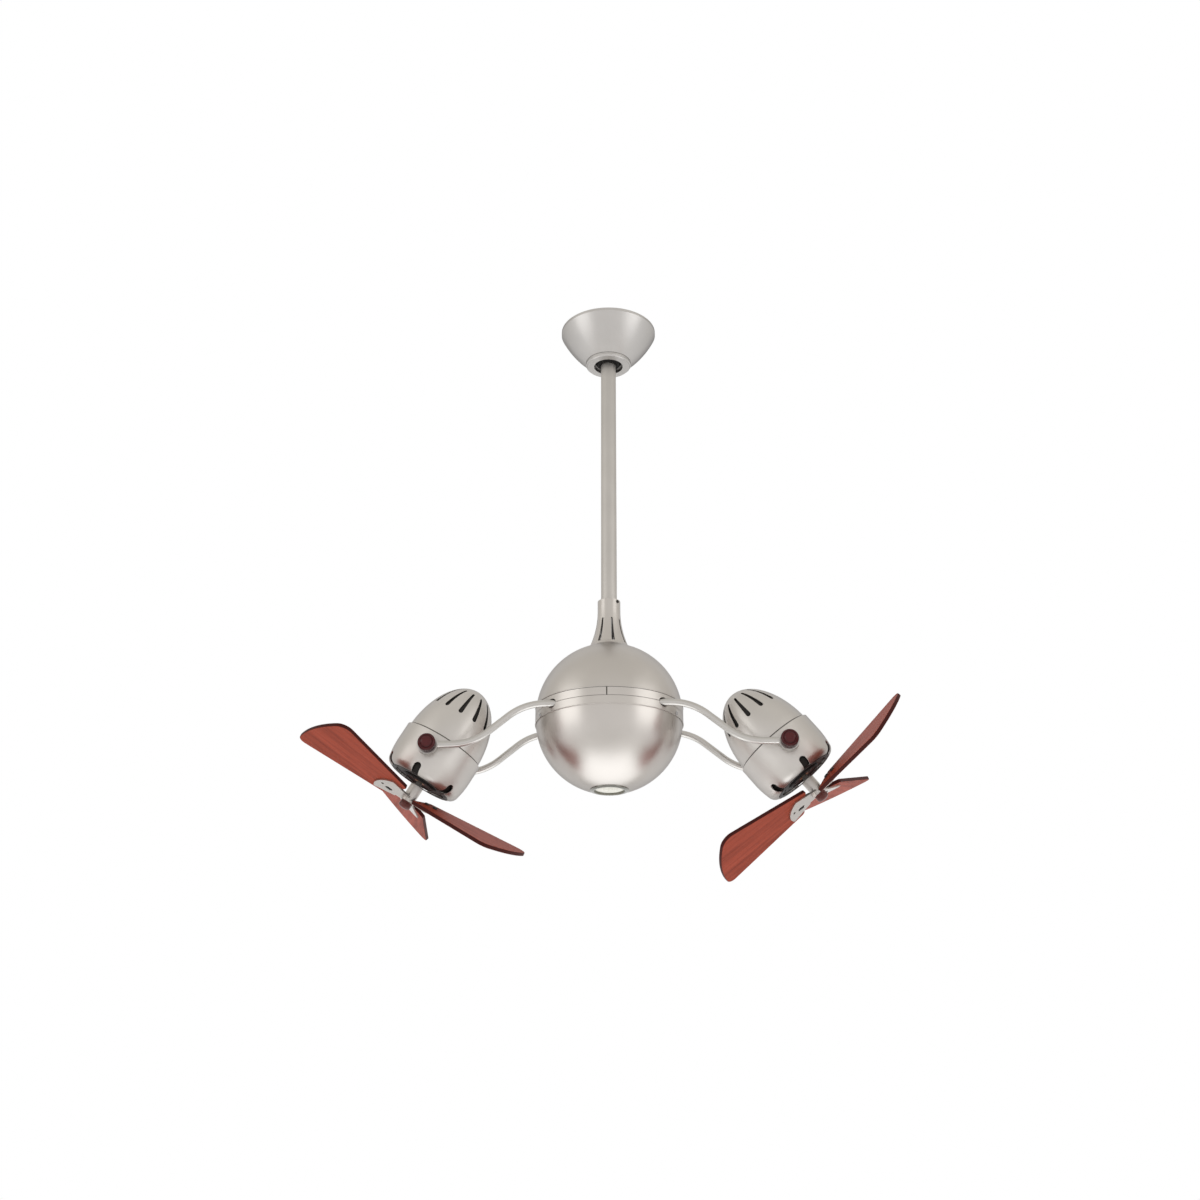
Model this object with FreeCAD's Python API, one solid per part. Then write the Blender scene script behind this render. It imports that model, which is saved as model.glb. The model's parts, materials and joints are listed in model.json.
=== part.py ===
import FreeCAD
import Part
import math
import os

# Ceiling fan with two tilting heads. Millimetres and degrees.
# The origin is the middle of the ceiling plane and +Z points up.
# The heads stand along X, and each hangs in a fork of two bent arms.

# Clearances
SEAT_FIT = 0.05
RUNNING_FIT = 0.05
FACE_GAP = 0.3

# Down rod and the ball that hangs it
ROD_RADIUS = 13.35
ROD_WALL = 2.4
HANGER_BALL_RADIUS = 27.0
HANGER_BALL_DROP = 48.0
HANGER_BALL_CUT = 20.0
HANGER_SEAT_FIT = 0.1
ROD_ABOVE_BALL = 4.0
KEY_PIN_RADIUS = 3.0
KEY_PIN_REACH = 7.0
CROSS_PIN_RADIUS = 3.0
CROSS_PIN_RISE = 10.0

# Bracket on the ceiling
BRACKET_THICKNESS = 3.0
BRACKET_WIDTH = 44.0
BRACKET_END = 11.0
BOX_SCREW_SPACING = 88.9
BOX_SCREW_HOLE_RADIUS = 2.75
WIRE_OPENING_LENGTH = 34.0
WIRE_OPENING_WIDTH = 26.0
LEG_WIDTH = 20.0
LEG_INSET = 1.0
KEY_POST_WIDTH = 12.0
SOCKET_HEIGHT = 10.0
SOCKET_MARGIN = 4.5

# Canopy and its trim ring
CANOPY_RADIUS = 84.5
CANOPY_SKIRT = 5.0
CANOPY_WALL = 1.5
CANOPY_BULGE = 3.6
CANOPY_FLANGE_WIDTH = 14.3
SOCKET_GRIP = 1.3
TRIM_HEIGHT = 7.0
TRIM_WALL = 1.4
TRIM_CORNER = 2.5
CANOPY_SCREW_COUNT = 3
CANOPY_SCREW_INSET = 5.8
CANOPY_SCREW_RADIUS = 2.0
CANOPY_SCREW_LENGTH = 8.0
CANOPY_SCREW_HEAD_RADIUS = 3.2
CANOPY_SCREW_HEAD_HEIGHT = 1.4

# Neck cover and the spindle inside it
BALL_DROP = 732.0
NECK_HEIGHT = 85.0
NECK_COLLAR_HEIGHT = 17.0
NECK_COLLAR_DEPTH = 12.0
NECK_FOOT_RADIUS = 34.0
NECK_WALL = 1.8
NECK_GAP = 0.8
NECK_SLOT_COUNT = 8
NECK_SLOT_ANGLE = -75.0
NECK_SLOT_TOP = 35.5
NECK_SLOT_LENGTH = 41.0
NECK_SLOT_TOP_WIDTH = 2.8
NECK_SLOT_FOOT_WIDTH = 5.2
SET_SCREW_RADIUS = 2.5
SET_SCREW_DROP = 4.0
SET_SCREW_ANGLE = -40.0
SET_SCREW_PROUD = 1.5
YOKE_WALL = 3.15
YOKE_CLEARANCE = 0.7
YOKE_TOP = 15.0
YOKE_DEPTH = 32.0
YOKE_FLOOR = 13.0
YOKE_CONE = 10.0
YOKE_PIN_DEPTH = 17.0
SPINDLE_SHOULDER = 2.0
SPINDLE_BORE_RADIUS = 6.0

# Ball bearings of the turning ball, and the slip rings under them
BEARING_BORE_RADIUS = 10.0
BEARING_RING = 4.0
BEARING_BALL_RADIUS = 3.1
BEARING_RING_GAP = 3.0
BEARING_WIDTH = 12.0
BEARING_BALL_COUNT = 9
BEARING_SPACING = 34.0
BEARING_TOP_RISE = 90.0
HUB_WALL = 5.0
HUB_SHOULDER = 2.0
NUT_HEIGHT = 9.0
NUT_FLANGE = 3.0
SLIP_RING_WIDTH = 4.0
SLIP_RING_GAP = 2.0
SLIP_RING_THICKNESS = 1.8
BRUSH_WIDTH = 10.0
BRUSH_LENGTH = 8.9

# Ball shells
ARM_INSET = 38.5
BALL_BAND = 4.0
SHELL_WALL = 3.0
SEAM_GAP = 0.6
RIM_HEIGHT = 13.0
RIM_PROUD = 0.8
BELT_HEIGHT = 14.2
BELT_SEAT = 1.6
BELT_SPLIT = 2.0
SHELL_NECK_INSET = 4.0
LEDGE_WIDTH = 6.0
LEDGE_HEIGHT = 3.0
LIP_WALL = 1.3
LIP_HEIGHT = 5.0
SHELL_SCREW_ANGLE = 25.3
SHELL_SCREW_DROP = 9.0
SHELL_SCREW_RADIUS = 1.7
SHELL_SCREW_LENGTH = 13.0
SHELL_SCREW_HEAD_RADIUS = 3.4
SHELL_SCREW_HEAD_HEIGHT = 1.6
TAB_WIDTH = 12.0
TAB_DEPTH = 11.0

# Plate that carries the arms
CARRIER_RISE = 10.0
CARRIER_PLAY = 1.0
CARRIER_THICKNESS = 6.0
CARRIER_WIRE_RADIUS = 6.0
CLAMP_WIDTH = 22.0
CLAMP_FLOOR = 5.0
CLAMP_LENGTH = 110.0
CLAMP_SCREW_OFFSET = 35.0
CLAMP_SCREW_RADIUS = 2.5
CLAMP_SCREW_PROUD = 4.0

# Arms
ARM_RADIUS = 5.5
ARM_WALL = 1.8
ARM_END_GAP = 10.0
ARM_BEND_ANGLE = 39.0
ARM_BEND_START = 100.0
ARM_DROP = 65.0
ARM_LEVEL_END = 38.0
ARM_HOLE_PLAY = 2.0
PIVOT_REACH = 282.0
EYE_RADIUS = 16.5
EYE_WIDTH = 12.0

# Lamp in the bottom of the ball
LAMP_RADIUS = 24.3
LAMP_PLAY = 0.2
LAMP_RECESS = 2.5
LAMP_DEPTH = 36.0
LAMP_BASE_RADIUS = 9.0
LAMP_BASE_LENGTH = 14.0
LAMP_CROWN = 2.0
LAMP_RING_WALL = 2.3
LAMP_RING_FLANGE = 4.6
LAMP_RING_HEIGHT = 1.2
LAMP_RING_DEPTH = 22.0
HOLDER_RADIUS = 13.0
HOLDER_HEIGHT = 14.0
STEM_RADIUS = 8.0
STEM_FLANGE_RADIUS = 18.0
STEM_FLANGE_HEIGHT = 3.0

# Head cases
CASE_RADIUS = 68.0
CASE_WALL = 2.0
CASE_SEAM = 25.0
CASE_STRAIGHT = 4.0
CASE_SHOULDER = 33.2
CASE_SHOULDER_INSET = 3.2
CASE_FRONT = 45.0
CASE_CORNER = 12.3
CASE_LIP = 6.5
NOTCH_COUNT = 6
NOTCH_ANGLE = 90.0
NOTCH_WIDTH = 12.0
NOTCH_START = 28.0
NOSE_STEP = 3.6
NOSE_LENGTH = 109.0
NOSE_LAP = 8.0
NOSE_CENTRE = 4.0
NOSE_SLOT_COUNT = 13
NOSE_SLOT_START = 14.0
NOSE_SLOT_LENGTH = 37.5
NOSE_SLOT_TIP_WIDTH = 3.5
NOSE_SLOT_BASE_WIDTH = 7.5
BOSS_RADIUS = 14.0
BOSS_HEIGHT = 6.7

# Motors
CAN_GAP = 7.0
CAN_WALL = 2.0
CAN_PLATE = 4.0
END_DISC_RADIUS = 29.5
END_DISC_HEIGHT = 2.0
CAN_CORNER_GAP = 0.5
BULKHEAD = 3.0
BULKHEAD_OFFSET = 5.0
BUSH_WALL = 4.0
BUSH_LENGTH = 14.0
BUSH_SEAT_WALL = 4.0
STATOR_LENGTH = 36.0
STATOR_MIDDLE = 6.0
STATOR_BORE_RADIUS = 31.0
WINDING_HEIGHT = 10.0
WINDING_INSET = 4.0
AIR_GAP = 0.5
SHAFT_RADIUS = 5.0
SHAFT_TAIL = 2.0

# Blades and their spider
HUB_OFFSET = 73.2
HUB_RADIUS = 11.0
HUB_GAP = 8.0
HUB_TOP = 9.0
BLADE_COUNT = 3
BLADE_PITCH = 16.9
BLADE_THICKNESS = 6.0
BLADE_ROOT = 26.0
BLADE_LENGTH = 173.4
BLADE_ROOT_LEAD = 38.0
BLADE_ROOT_TRAIL = 22.0
BLADE_TIP_LEAD = 73.0
BLADE_TIP_TRAIL = 62.0
BLADE_LEAD_SHORT = 11.0
BLADE_TIP_CROWN = 12.0
BLADE_LEAD_CORNER = 16.0
BLADE_TRAIL_CORNER = 18.0
BLADE_ROOT_CORNER = 6.0
BLADE_EDGE = 1.2
IRON_THICKNESS = 3.0
IRON_REACH = 36.0
IRON_ROOT_WIDTH = 16.0
IRON_END_WIDTH = 50.0
IRON_CROWN = 11.0
IRON_SLOT_LENGTH = 12.0
BLADE_SCREW_RADIUS = 2.4
BLADE_SCREW_HEAD_RADIUS = 4.0
BLADE_SCREW_HEAD_HEIGHT = 2.5
BLADE_SCREW_DEPTH = 2.4
BLADE_SCREW_EDGE = 9.0
BLADE_SCREW_SPACING = 16.0
HUB_NUT_RADIUS = 10.0
HUB_NUT_HEIGHT = 12.0
HUB_NUT_CROWN = 4.0

# Pivot studs and the knobs on them
STUD_RADIUS = 6.0
STUD_HEAD_RADIUS = 9.0
STUD_HEAD_HEIGHT = 3.0
STUD_THREAD_RADIUS = 5.0
STUD_THREAD_LENGTH = 11.0
KNOB_RADIUS = 14.0
KNOB_BASE_RADIUS = 11.0
KNOB_LENGTH = 15.0
KNOB_FLARE = 3.5
KNOB_CROWN = 5.0

# Rest pose of each head: tilt from straight down, the turn of its blades and the turn of its rear case
LEFT_TILT = 30.9
LEFT_BLADE_ANGLE = -226.8
LEFT_SLOT_ANGLE = 82.5
RIGHT_TILT = 38.9
RIGHT_BLADE_ANGLE = -11.8
RIGHT_SLOT_ANGLE = 90.5

# Places that follow from the sizes above
X_AXIS = FreeCAD.Vector(1, 0, 0)
Y_AXIS = FreeCAD.Vector(0, 1, 0)
Z_AXIS = FreeCAD.Vector(0, 0, 1)
ORIGIN = FreeCAD.Vector(0, 0, 0)
CANOPY_OPENING_RADIUS = HANGER_BALL_RADIUS - SOCKET_GRIP
CANOPY_FOOT_RADIUS = CANOPY_OPENING_RADIUS + CANOPY_FLANGE_WIDTH
CANOPY_SCREW_CIRCLE = CANOPY_OPENING_RADIUS + CANOPY_SCREW_INSET
CANOPY_SCREW_ANGLE = 90.0 + 180.0 / CANOPY_SCREW_COUNT
SOCKET_RADIUS = CANOPY_SCREW_CIRCLE + SOCKET_MARGIN
SOCKET_FOOT = -(HANGER_BALL_DROP + HANGER_BALL_RADIUS / 2)
SOCKET_TOP = SOCKET_FOOT + SOCKET_HEIGHT
CANOPY_FOOT = SOCKET_FOOT - CANOPY_WALL
ARM_SPREAD = CASE_RADIUS + BOSS_HEIGHT + FACE_GAP + EYE_WIDTH / 2
BALL_RADIUS = ARM_SPREAD + ARM_INSET
BALL_INNER_RADIUS = BALL_RADIUS - SHELL_WALL
UPPER_CENTRE = -BALL_DROP + BALL_BAND
LOWER_CENTRE = -BALL_DROP - BALL_BAND
NECK_RADIUS = ROD_RADIUS + YOKE_WALL + YOKE_CLEARANCE + NECK_WALL
NECK_FOOT = UPPER_CENTRE + math.sqrt(BALL_RADIUS ** 2 - NECK_FOOT_RADIUS ** 2) + NECK_GAP
NECK_TOP = NECK_FOOT + NECK_HEIGHT
ROD_TOP = -HANGER_BALL_DROP + HANGER_BALL_CUT + ROD_ABOVE_BALL
YOKE_MOUTH = NECK_TOP - YOKE_TOP
ROD_FOOT = YOKE_MOUTH - YOKE_DEPTH
CROSS_PIN_LENGTH = 2 * (ROD_RADIUS + YOKE_WALL)
CARRIER_FOOT = -BALL_DROP + CARRIER_RISE
CARRIER_TOP = CARRIER_FOOT + CARRIER_THICKNESS
BEARING_TOP = -BALL_DROP + BEARING_TOP_RISE
BEARING_FOOT = BEARING_TOP - BEARING_SPACING
BEARING_OUTER_BORE = BEARING_BORE_RADIUS + BEARING_RING + BEARING_RING_GAP
BEARING_RADIUS = BEARING_OUTER_BORE + BEARING_RING
BEARING_PITCH = BEARING_BORE_RADIUS + BEARING_RING + BEARING_RING_GAP / 2
NUT_TOP = BEARING_FOOT - BEARING_WIDTH
SLIP_SEAT_RADIUS = BEARING_BORE_RADIUS - SPINDLE_SHOULDER
SLIP_FOOT = CARRIER_TOP + SLIP_RING_GAP
SLIP_RADIUS = SLIP_SEAT_RADIUS + SLIP_RING_THICKNESS
CARRIER_RADIUS = BALL_INNER_RADIUS - CARRIER_PLAY
BELT_INNER_RADIUS = BALL_RADIUS - BELT_SEAT
RIM_RADIUS = BALL_RADIUS + RIM_PROUD
BELT_TOP = -BALL_DROP + SEAM_GAP + BELT_HEIGHT
LAMP_RING_BORE = LAMP_RADIUS + LAMP_PLAY
LAMP_RING_RADIUS = LAMP_RING_BORE + LAMP_RING_WALL
LAMP_FLANGE_RADIUS = LAMP_RING_RADIUS + LAMP_RING_FLANGE
BALL_FOOT = LOWER_CENTRE - math.sqrt(BALL_RADIUS ** 2 - LAMP_RING_RADIUS ** 2)
LAMP_FACE = BALL_FOOT + LAMP_RECESS
LAMP_TOP = LAMP_FACE + LAMP_DEPTH + LAMP_BASE_LENGTH
PIVOT_HEIGHT = -BALL_DROP - ARM_DROP
ARM_BEND_RUN = PIVOT_REACH - ARM_LEVEL_END - ARM_BEND_START
CASE_INNER_RADIUS = CASE_RADIUS - CASE_WALL
NOSE_RADIUS = CASE_RADIUS - NOSE_STEP
NOSE_MIDDLE = NOSE_CENTRE - CASE_SEAM
NOSE_TIP = NOSE_MIDDLE - NOSE_LENGTH
BOSS_FACE = CASE_RADIUS + BOSS_HEIGHT
CAN_RADIUS = CASE_INNER_RADIUS - CAN_GAP
CAN_INNER_RADIUS = CAN_RADIUS - CAN_WALL
CAN_FRONT = CASE_FRONT - CASE_WALL
END_DISC_FACE = CAN_FRONT + END_DISC_HEIGHT
BULKHEAD_REAR = -CASE_SEAM - BULKHEAD_OFFSET
STATOR_REAR = STATOR_MIDDLE - STATOR_LENGTH / 2
STATOR_FRONT = STATOR_MIDDLE + STATOR_LENGTH / 2
BUSH_RADIUS = SHAFT_RADIUS + RUNNING_FIT + BUSH_WALL
HUB_REAR = END_DISC_FACE + HUB_GAP
HUB_FRONT = HUB_OFFSET + HUB_TOP
SHAFT_REAR = BULKHEAD_REAR - BUSH_LENGTH - SHAFT_TAIL
SHAFT_FRONT = HUB_FRONT + HUB_NUT_HEIGHT - HUB_NUT_CROWN
BLADE_TIP = BLADE_ROOT + BLADE_LENGTH
BLADE_ROOT_MIDDLE = (BLADE_ROOT_LEAD - BLADE_ROOT_TRAIL) / 2
EYE_OUTER_FACE = ARM_SPREAD + EYE_WIDTH / 2
KNOB_SEAT = EYE_OUTER_FACE + FACE_GAP


def point(x, y, z):
    """A point or direction of the model."""
    return FreeCAD.Vector(x, y, z)


def rod(radius, start, direction, length):
    """Solid cylinder from a start point along a direction."""
    return Part.makeCylinder(radius, length, start, direction)


def upright(radius, foot, top):
    """Solid cylinder about the Z axis between two heights."""
    return rod(radius, point(0, 0, foot), Z_AXIS, top - foot)


def sleeve(outer, inner, foot, top):
    """Tube about the Z axis between two heights."""
    return upright(outer, foot, top).cut(upright(inner, foot, top))


def slab(x_range, y_range, z_range):
    """Box between two values on each axis."""
    corner = point(x_range[0], y_range[0], z_range[0])
    return Part.makeBox(x_range[1] - x_range[0], y_range[1] - y_range[0], z_range[1] - z_range[0], corner)


def edges_through(steps, place):
    """Edges along steps: a pair is a line's end, and two pairs are an arc's middle and end."""
    edges = []
    here = place(*steps[0])
    for step in steps[1:]:
        if isinstance(step[0], tuple):
            there = place(*step[1])
            edges.append(Part.Arc(here, place(*step[0]), there).toShape())
        else:
            there = place(*step)
            edges.append(Part.LineSegment(here, there).toShape())
        here = there
    return edges


def turned(steps):
    """Solid of revolution about Z from a closed outline of (radius, height) steps."""
    edges = edges_through(steps + [steps[0]], lambda radius, height: point(radius, 0, height))
    return Part.Face(Part.Wire(edges)).revolve(ORIGIN, Z_AXIS, 360)


def prism(steps, depth):
    """Prism along +Z from a closed outline of (x, y) steps on the XY plane."""
    edges = edges_through(steps + [steps[0]], lambda x, y: point(x, y, 0))
    return Part.Face(Part.Wire(edges)).extrude(point(0, 0, depth))


def spun(shape, angle):
    """Copy of a shape turned about the Z axis."""
    copy = shape.copy()
    copy.rotate(ORIGIN, Z_AXIS, angle)
    return copy


def ring_of(shape, count, first_angle=0.0):
    """Copies of a shape evenly spaced about the Z axis."""
    return [spun(shape, first_angle + 360.0 * index / count) for index in range(count)]


def bowed(start, end, bulge):
    """Middle of an arc that bows to the right of the way from start to end."""
    run = (end[0] - start[0], end[1] - start[1])
    length = math.hypot(*run)
    middle = ((start[0] + end[0]) / 2, (start[1] + end[1]) / 2)
    return (middle[0] - run[1] * bulge / length, middle[1] + run[0] * bulge / length)


def dome(radius, foot, crown):
    """Middle and end of a round cap's outline, from its edge at a height to its top on the Z axis."""
    sphere = (radius ** 2 + crown ** 2) / (2 * crown)
    half = math.asin(radius / abs(sphere)) / 2
    top = foot + crown
    return ((abs(sphere) * math.sin(half), top - sphere * (1 - math.cos(half))), (0, top))


def tapered_slot(length, first_width, last_width, reach):
    """Cutter with round ends, along +X by its reach, that widens as it goes down in Z from 0."""
    first = first_width / 2
    last = last_width / 2
    steps = [(-first, 0.0), (-last, -length), ((0.0, -length - last), (last, -length)), (first, 0.0)]
    edges = edges_through(steps + [((0.0, first), steps[0])], lambda y, z: point(0, y, z))
    return Part.Face(Part.Wire(edges)).extrude(point(reach, 0, 0))


def screw(radius, length, head_radius, head_height):
    """Screw along +X whose head's seat lies at X = 0."""
    shank = rod(radius, ORIGIN, X_AXIS, length)
    head = rod(head_radius, point(-head_height, 0, 0), X_AXIS, head_height)
    return shank.fuse(head).removeSplitter()


def moved(shape, x, y, z):
    """Copy of a shape shifted by a step."""
    copy = shape.copy()
    copy.translate(point(x, y, z))
    return copy


# Ceiling mount

def socket_centre():
    """Middle of the hanger ball."""
    return point(0, 0, -HANGER_BALL_DROP)


def hanger_bracket():
    """Plate for the ceiling box, two legs and the socket ring that carries the hanger ball."""
    half_length = BOX_SCREW_SPACING / 2 + BRACKET_END
    half_width = BRACKET_WIDTH / 2
    plate = slab((-half_length, half_length), (-half_width, half_width), (-BRACKET_THICKNESS, 0))
    opening = slab((-WIRE_OPENING_LENGTH / 2, WIRE_OPENING_LENGTH / 2),
                   (-WIRE_OPENING_WIDTH / 2, WIRE_OPENING_WIDTH / 2), (-BRACKET_THICKNESS, 0))
    body = plate.cut(opening)
    leg_outer = SOCKET_RADIUS - LEG_INSET
    leg_inner = leg_outer - BRACKET_THICKNESS
    ring = upright(SOCKET_RADIUS, SOCKET_FOOT, SOCKET_TOP)
    legs = [spun(slab((leg_inner, leg_outer), (-LEG_WIDTH / 2, LEG_WIDTH / 2), (SOCKET_FOOT, 0)), angle)
            for angle in (0, 180)]
    post = slab((-KEY_POST_WIDTH / 2, KEY_POST_WIDTH / 2), (leg_inner, leg_outer), (SOCKET_FOOT, 0))
    body = body.multiFuse(legs + [ring, post])
    body = body.cut(Part.makeSphere(HANGER_BALL_RADIUS + HANGER_SEAT_FIT, socket_centre()))
    pin_start = point(0, HANGER_BALL_RADIUS - KEY_PIN_REACH, -HANGER_BALL_DROP)
    body = body.fuse(rod(KEY_PIN_RADIUS, pin_start, Y_AXIS, leg_inner + BRACKET_THICKNESS / 2 - pin_start.y))
    cuts = [rod(BOX_SCREW_HOLE_RADIUS, point(side * BOX_SCREW_SPACING / 2, 0, -BRACKET_THICKNESS), Z_AXIS,
                BRACKET_THICKNESS) for side in (-1, 1)]
    hole_start = point(CANOPY_SCREW_CIRCLE, 0, SOCKET_FOOT)
    hole = rod(CANOPY_SCREW_RADIUS + SEAT_FIT, hole_start, Z_AXIS, SOCKET_HEIGHT)
    cuts += ring_of(hole, CANOPY_SCREW_COUNT, CANOPY_SCREW_ANGLE)
    return body.cut(cuts).removeSplitter()


def canopy():
    """Bowl against the ceiling, with a flange under the socket ring."""
    rim = (CANOPY_RADIUS, -CANOPY_SKIRT)
    foot = (CANOPY_FOOT_RADIUS, CANOPY_FOOT)
    inner_rim = (CANOPY_RADIUS - CANOPY_WALL, -CANOPY_SKIRT)
    inner_foot = (CANOPY_FOOT_RADIUS - CANOPY_WALL, SOCKET_FOOT)
    body = turned([
        (CANOPY_RADIUS, 0), rim, (bowed(rim, foot, CANOPY_BULGE), foot),
        (CANOPY_OPENING_RADIUS, CANOPY_FOOT), (CANOPY_OPENING_RADIUS, SOCKET_FOOT), inner_foot,
        (bowed(inner_foot, inner_rim, -CANOPY_BULGE), inner_rim), (CANOPY_RADIUS - CANOPY_WALL, 0)])
    hole = rod(CANOPY_SCREW_RADIUS + SEAT_FIT, point(CANOPY_SCREW_CIRCLE, 0, CANOPY_FOOT), Z_AXIS, CANOPY_WALL)
    return body.cut(ring_of(hole, CANOPY_SCREW_COUNT, CANOPY_SCREW_ANGLE))


def canopy_trim_ring():
    """Flat cup that hides the canopy's screws, with a rounded corner."""
    foot = CANOPY_FOOT - TRIM_HEIGHT
    round_off = (1 - math.sqrt(0.5)) * TRIM_CORNER
    outer_side = (CANOPY_FOOT_RADIUS, foot + TRIM_CORNER)
    outer_foot = (CANOPY_FOOT_RADIUS - TRIM_CORNER, foot)
    inner_foot = (outer_foot[0], foot + TRIM_WALL)
    inner_side = (CANOPY_FOOT_RADIUS - TRIM_WALL, outer_side[1])
    inner_round = (1 - math.sqrt(0.5)) * (TRIM_CORNER - TRIM_WALL)
    return turned([
        (CANOPY_FOOT_RADIUS, CANOPY_FOOT), outer_side, (bowed(outer_side, outer_foot, -round_off), outer_foot),
        (CANOPY_OPENING_RADIUS, foot), (CANOPY_OPENING_RADIUS, foot + TRIM_WALL), inner_foot,
        (bowed(inner_foot, inner_side, inner_round), inner_side), (inner_side[0], CANOPY_FOOT)])


def canopy_screws():
    """Screws up through the canopy's flange into the socket ring."""
    one = screw(CANOPY_SCREW_RADIUS, CANOPY_SCREW_LENGTH, CANOPY_SCREW_HEAD_RADIUS, CANOPY_SCREW_HEAD_HEIGHT)
    one.rotate(ORIGIN, Y_AXIS, -90)
    one = moved(one, CANOPY_SCREW_CIRCLE, 0, CANOPY_FOOT)
    return Part.makeCompound(ring_of(one, CANOPY_SCREW_COUNT, CANOPY_SCREW_ANGLE))


# Hanging rod

def cross_pin(height, direction, extra=0.0):
    """Pin across the rod at a height, or its hole with some extra radius."""
    start = direction * (-CROSS_PIN_LENGTH / 2)
    return rod(CROSS_PIN_RADIUS + extra, point(start.x, start.y, height), direction, CROSS_PIN_LENGTH)


def upper_pin_height():
    """Height of the pin that locks the rod in the hanger ball."""
    return -HANGER_BALL_DROP + CROSS_PIN_RISE


def lower_pin_height():
    """Height of the pin that locks the rod in the spindle's yoke."""
    return YOKE_MOUTH - YOKE_PIN_DEPTH


def hanger_ball():
    """Ball round the rod's top, with a keyway for the bracket's key pin."""
    ball = Part.makeSphere(HANGER_BALL_RADIUS, socket_centre())
    band = upright(HANGER_BALL_RADIUS, -HANGER_BALL_DROP - HANGER_BALL_CUT, -HANGER_BALL_DROP + HANGER_BALL_CUT)
    body = ball.common(band).cut(upright(ROD_RADIUS + SEAT_FIT, -2 * HANGER_BALL_DROP, 0))
    key_depth = KEY_PIN_REACH + FACE_GAP
    keyway = rod(KEY_PIN_RADIUS + RUNNING_FIT, point(0, HANGER_BALL_RADIUS - key_depth, -HANGER_BALL_DROP),
                 Y_AXIS, key_depth)
    return body.cut([keyway, cross_pin(upper_pin_height(), X_AXIS, SEAT_FIT)])


def downrod():
    """Tube from the hanger ball to the spindle's yoke."""
    tube = sleeve(ROD_RADIUS, ROD_RADIUS - ROD_WALL, ROD_FOOT, ROD_TOP)
    return tube.cut([cross_pin(upper_pin_height(), X_AXIS, SEAT_FIT),
                     cross_pin(lower_pin_height(), Y_AXIS, SEAT_FIT)])


def rod_pins():
    """The two cross pins of the rod."""
    return Part.makeCompound([cross_pin(upper_pin_height(), X_AXIS), cross_pin(lower_pin_height(), Y_AXIS)])


def set_screw_line(radius, start, end):
    """Cylinder along the set screw's axis, near the top of the solid collar, between two distances from Z."""
    line = rod(radius, point(start, 0, NECK_TOP - SET_SCREW_DROP), X_AXIS, end - start)
    return spun(line, SET_SCREW_ANGLE)


def neck_cover():
    """Flared cover over the spindle, with tapered slots, clamped to the rod by its collar."""
    flare_top = NECK_TOP - NECK_COLLAR_HEIGHT
    spread = NECK_FOOT_RADIUS - NECK_RADIUS
    fall = flare_top - NECK_FOOT
    sweep = (spread ** 2 + fall ** 2) / (2 * spread)
    half_turn = math.asin(fall / sweep) / 2
    middle = (NECK_RADIUS + sweep * (1 - math.cos(half_turn)), flare_top - sweep * math.sin(half_turn))
    bore = ROD_RADIUS + SEAT_FIT
    body = turned([
        (bore, NECK_TOP), (NECK_RADIUS, NECK_TOP), (NECK_RADIUS, flare_top),
        (middle, (NECK_FOOT_RADIUS, NECK_FOOT)), (NECK_FOOT_RADIUS - NECK_WALL, NECK_FOOT),
        ((middle[0] - NECK_WALL, middle[1]), (NECK_RADIUS - NECK_WALL, flare_top)),
        (NECK_RADIUS - NECK_WALL, NECK_TOP - NECK_COLLAR_DEPTH), (bore, NECK_TOP - NECK_COLLAR_DEPTH)])
    slot = tapered_slot(NECK_SLOT_LENGTH, NECK_SLOT_TOP_WIDTH, NECK_SLOT_FOOT_WIDTH, NECK_FOOT_RADIUS)
    slot = moved(slot, ROD_RADIUS, 0, NECK_TOP - NECK_SLOT_TOP)
    hole = set_screw_line(SET_SCREW_RADIUS + SEAT_FIT, 0, NECK_RADIUS)
    return body.cut(ring_of(slot, NECK_SLOT_COUNT, NECK_SLOT_ANGLE) + [hole])


def neck_set_screw():
    """Screw that clamps the neck cover to the rod."""
    return set_screw_line(SET_SCREW_RADIUS, ROD_RADIUS, NECK_RADIUS + SET_SCREW_PROUD)


def spindle():
    """Hollow shaft from the rod's yoke down through the bearings to the slip rings."""
    yoke_radius = ROD_RADIUS + YOKE_WALL
    floor = ROD_FOOT - YOKE_FLOOR
    cone_foot = floor - YOKE_CONE
    shoulder = BEARING_BORE_RADIUS + SPINDLE_SHOULDER
    nut_foot = NUT_TOP - NUT_HEIGHT
    bore = ROD_RADIUS + SEAT_FIT
    body = turned([
        (SPINDLE_BORE_RADIUS, SLIP_FOOT), (SLIP_SEAT_RADIUS, SLIP_FOOT), (SLIP_SEAT_RADIUS, nut_foot),
        (BEARING_BORE_RADIUS, nut_foot), (BEARING_BORE_RADIUS, BEARING_TOP), (shoulder, BEARING_TOP),
        (shoulder, cone_foot), (yoke_radius, floor), (yoke_radius, YOKE_MOUTH), (bore, YOKE_MOUTH),
        (bore, ROD_FOOT), (SPINDLE_BORE_RADIUS, ROD_FOOT)])
    return body.cut(cross_pin(lower_pin_height(), Y_AXIS, SEAT_FIT))


def spindle_nut():
    """Six-sided nut under the lower bearing."""
    flat = BEARING_BORE_RADIUS + NUT_FLANGE
    corners = [(flat * math.cos(math.radians(60 * index)), flat * math.sin(math.radians(60 * index)))
               for index in range(6)]
    body = moved(prism(corners, NUT_HEIGHT), 0, 0, NUT_TOP - NUT_HEIGHT)
    return body.cut(upright(BEARING_BORE_RADIUS + SEAT_FIT, NUT_TOP - NUT_HEIGHT, NUT_TOP))


def bearing_middles():
    """Heights of the two bearings' ball circles."""
    return [top - BEARING_WIDTH / 2 for top in (BEARING_TOP, BEARING_FOOT)]


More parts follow.
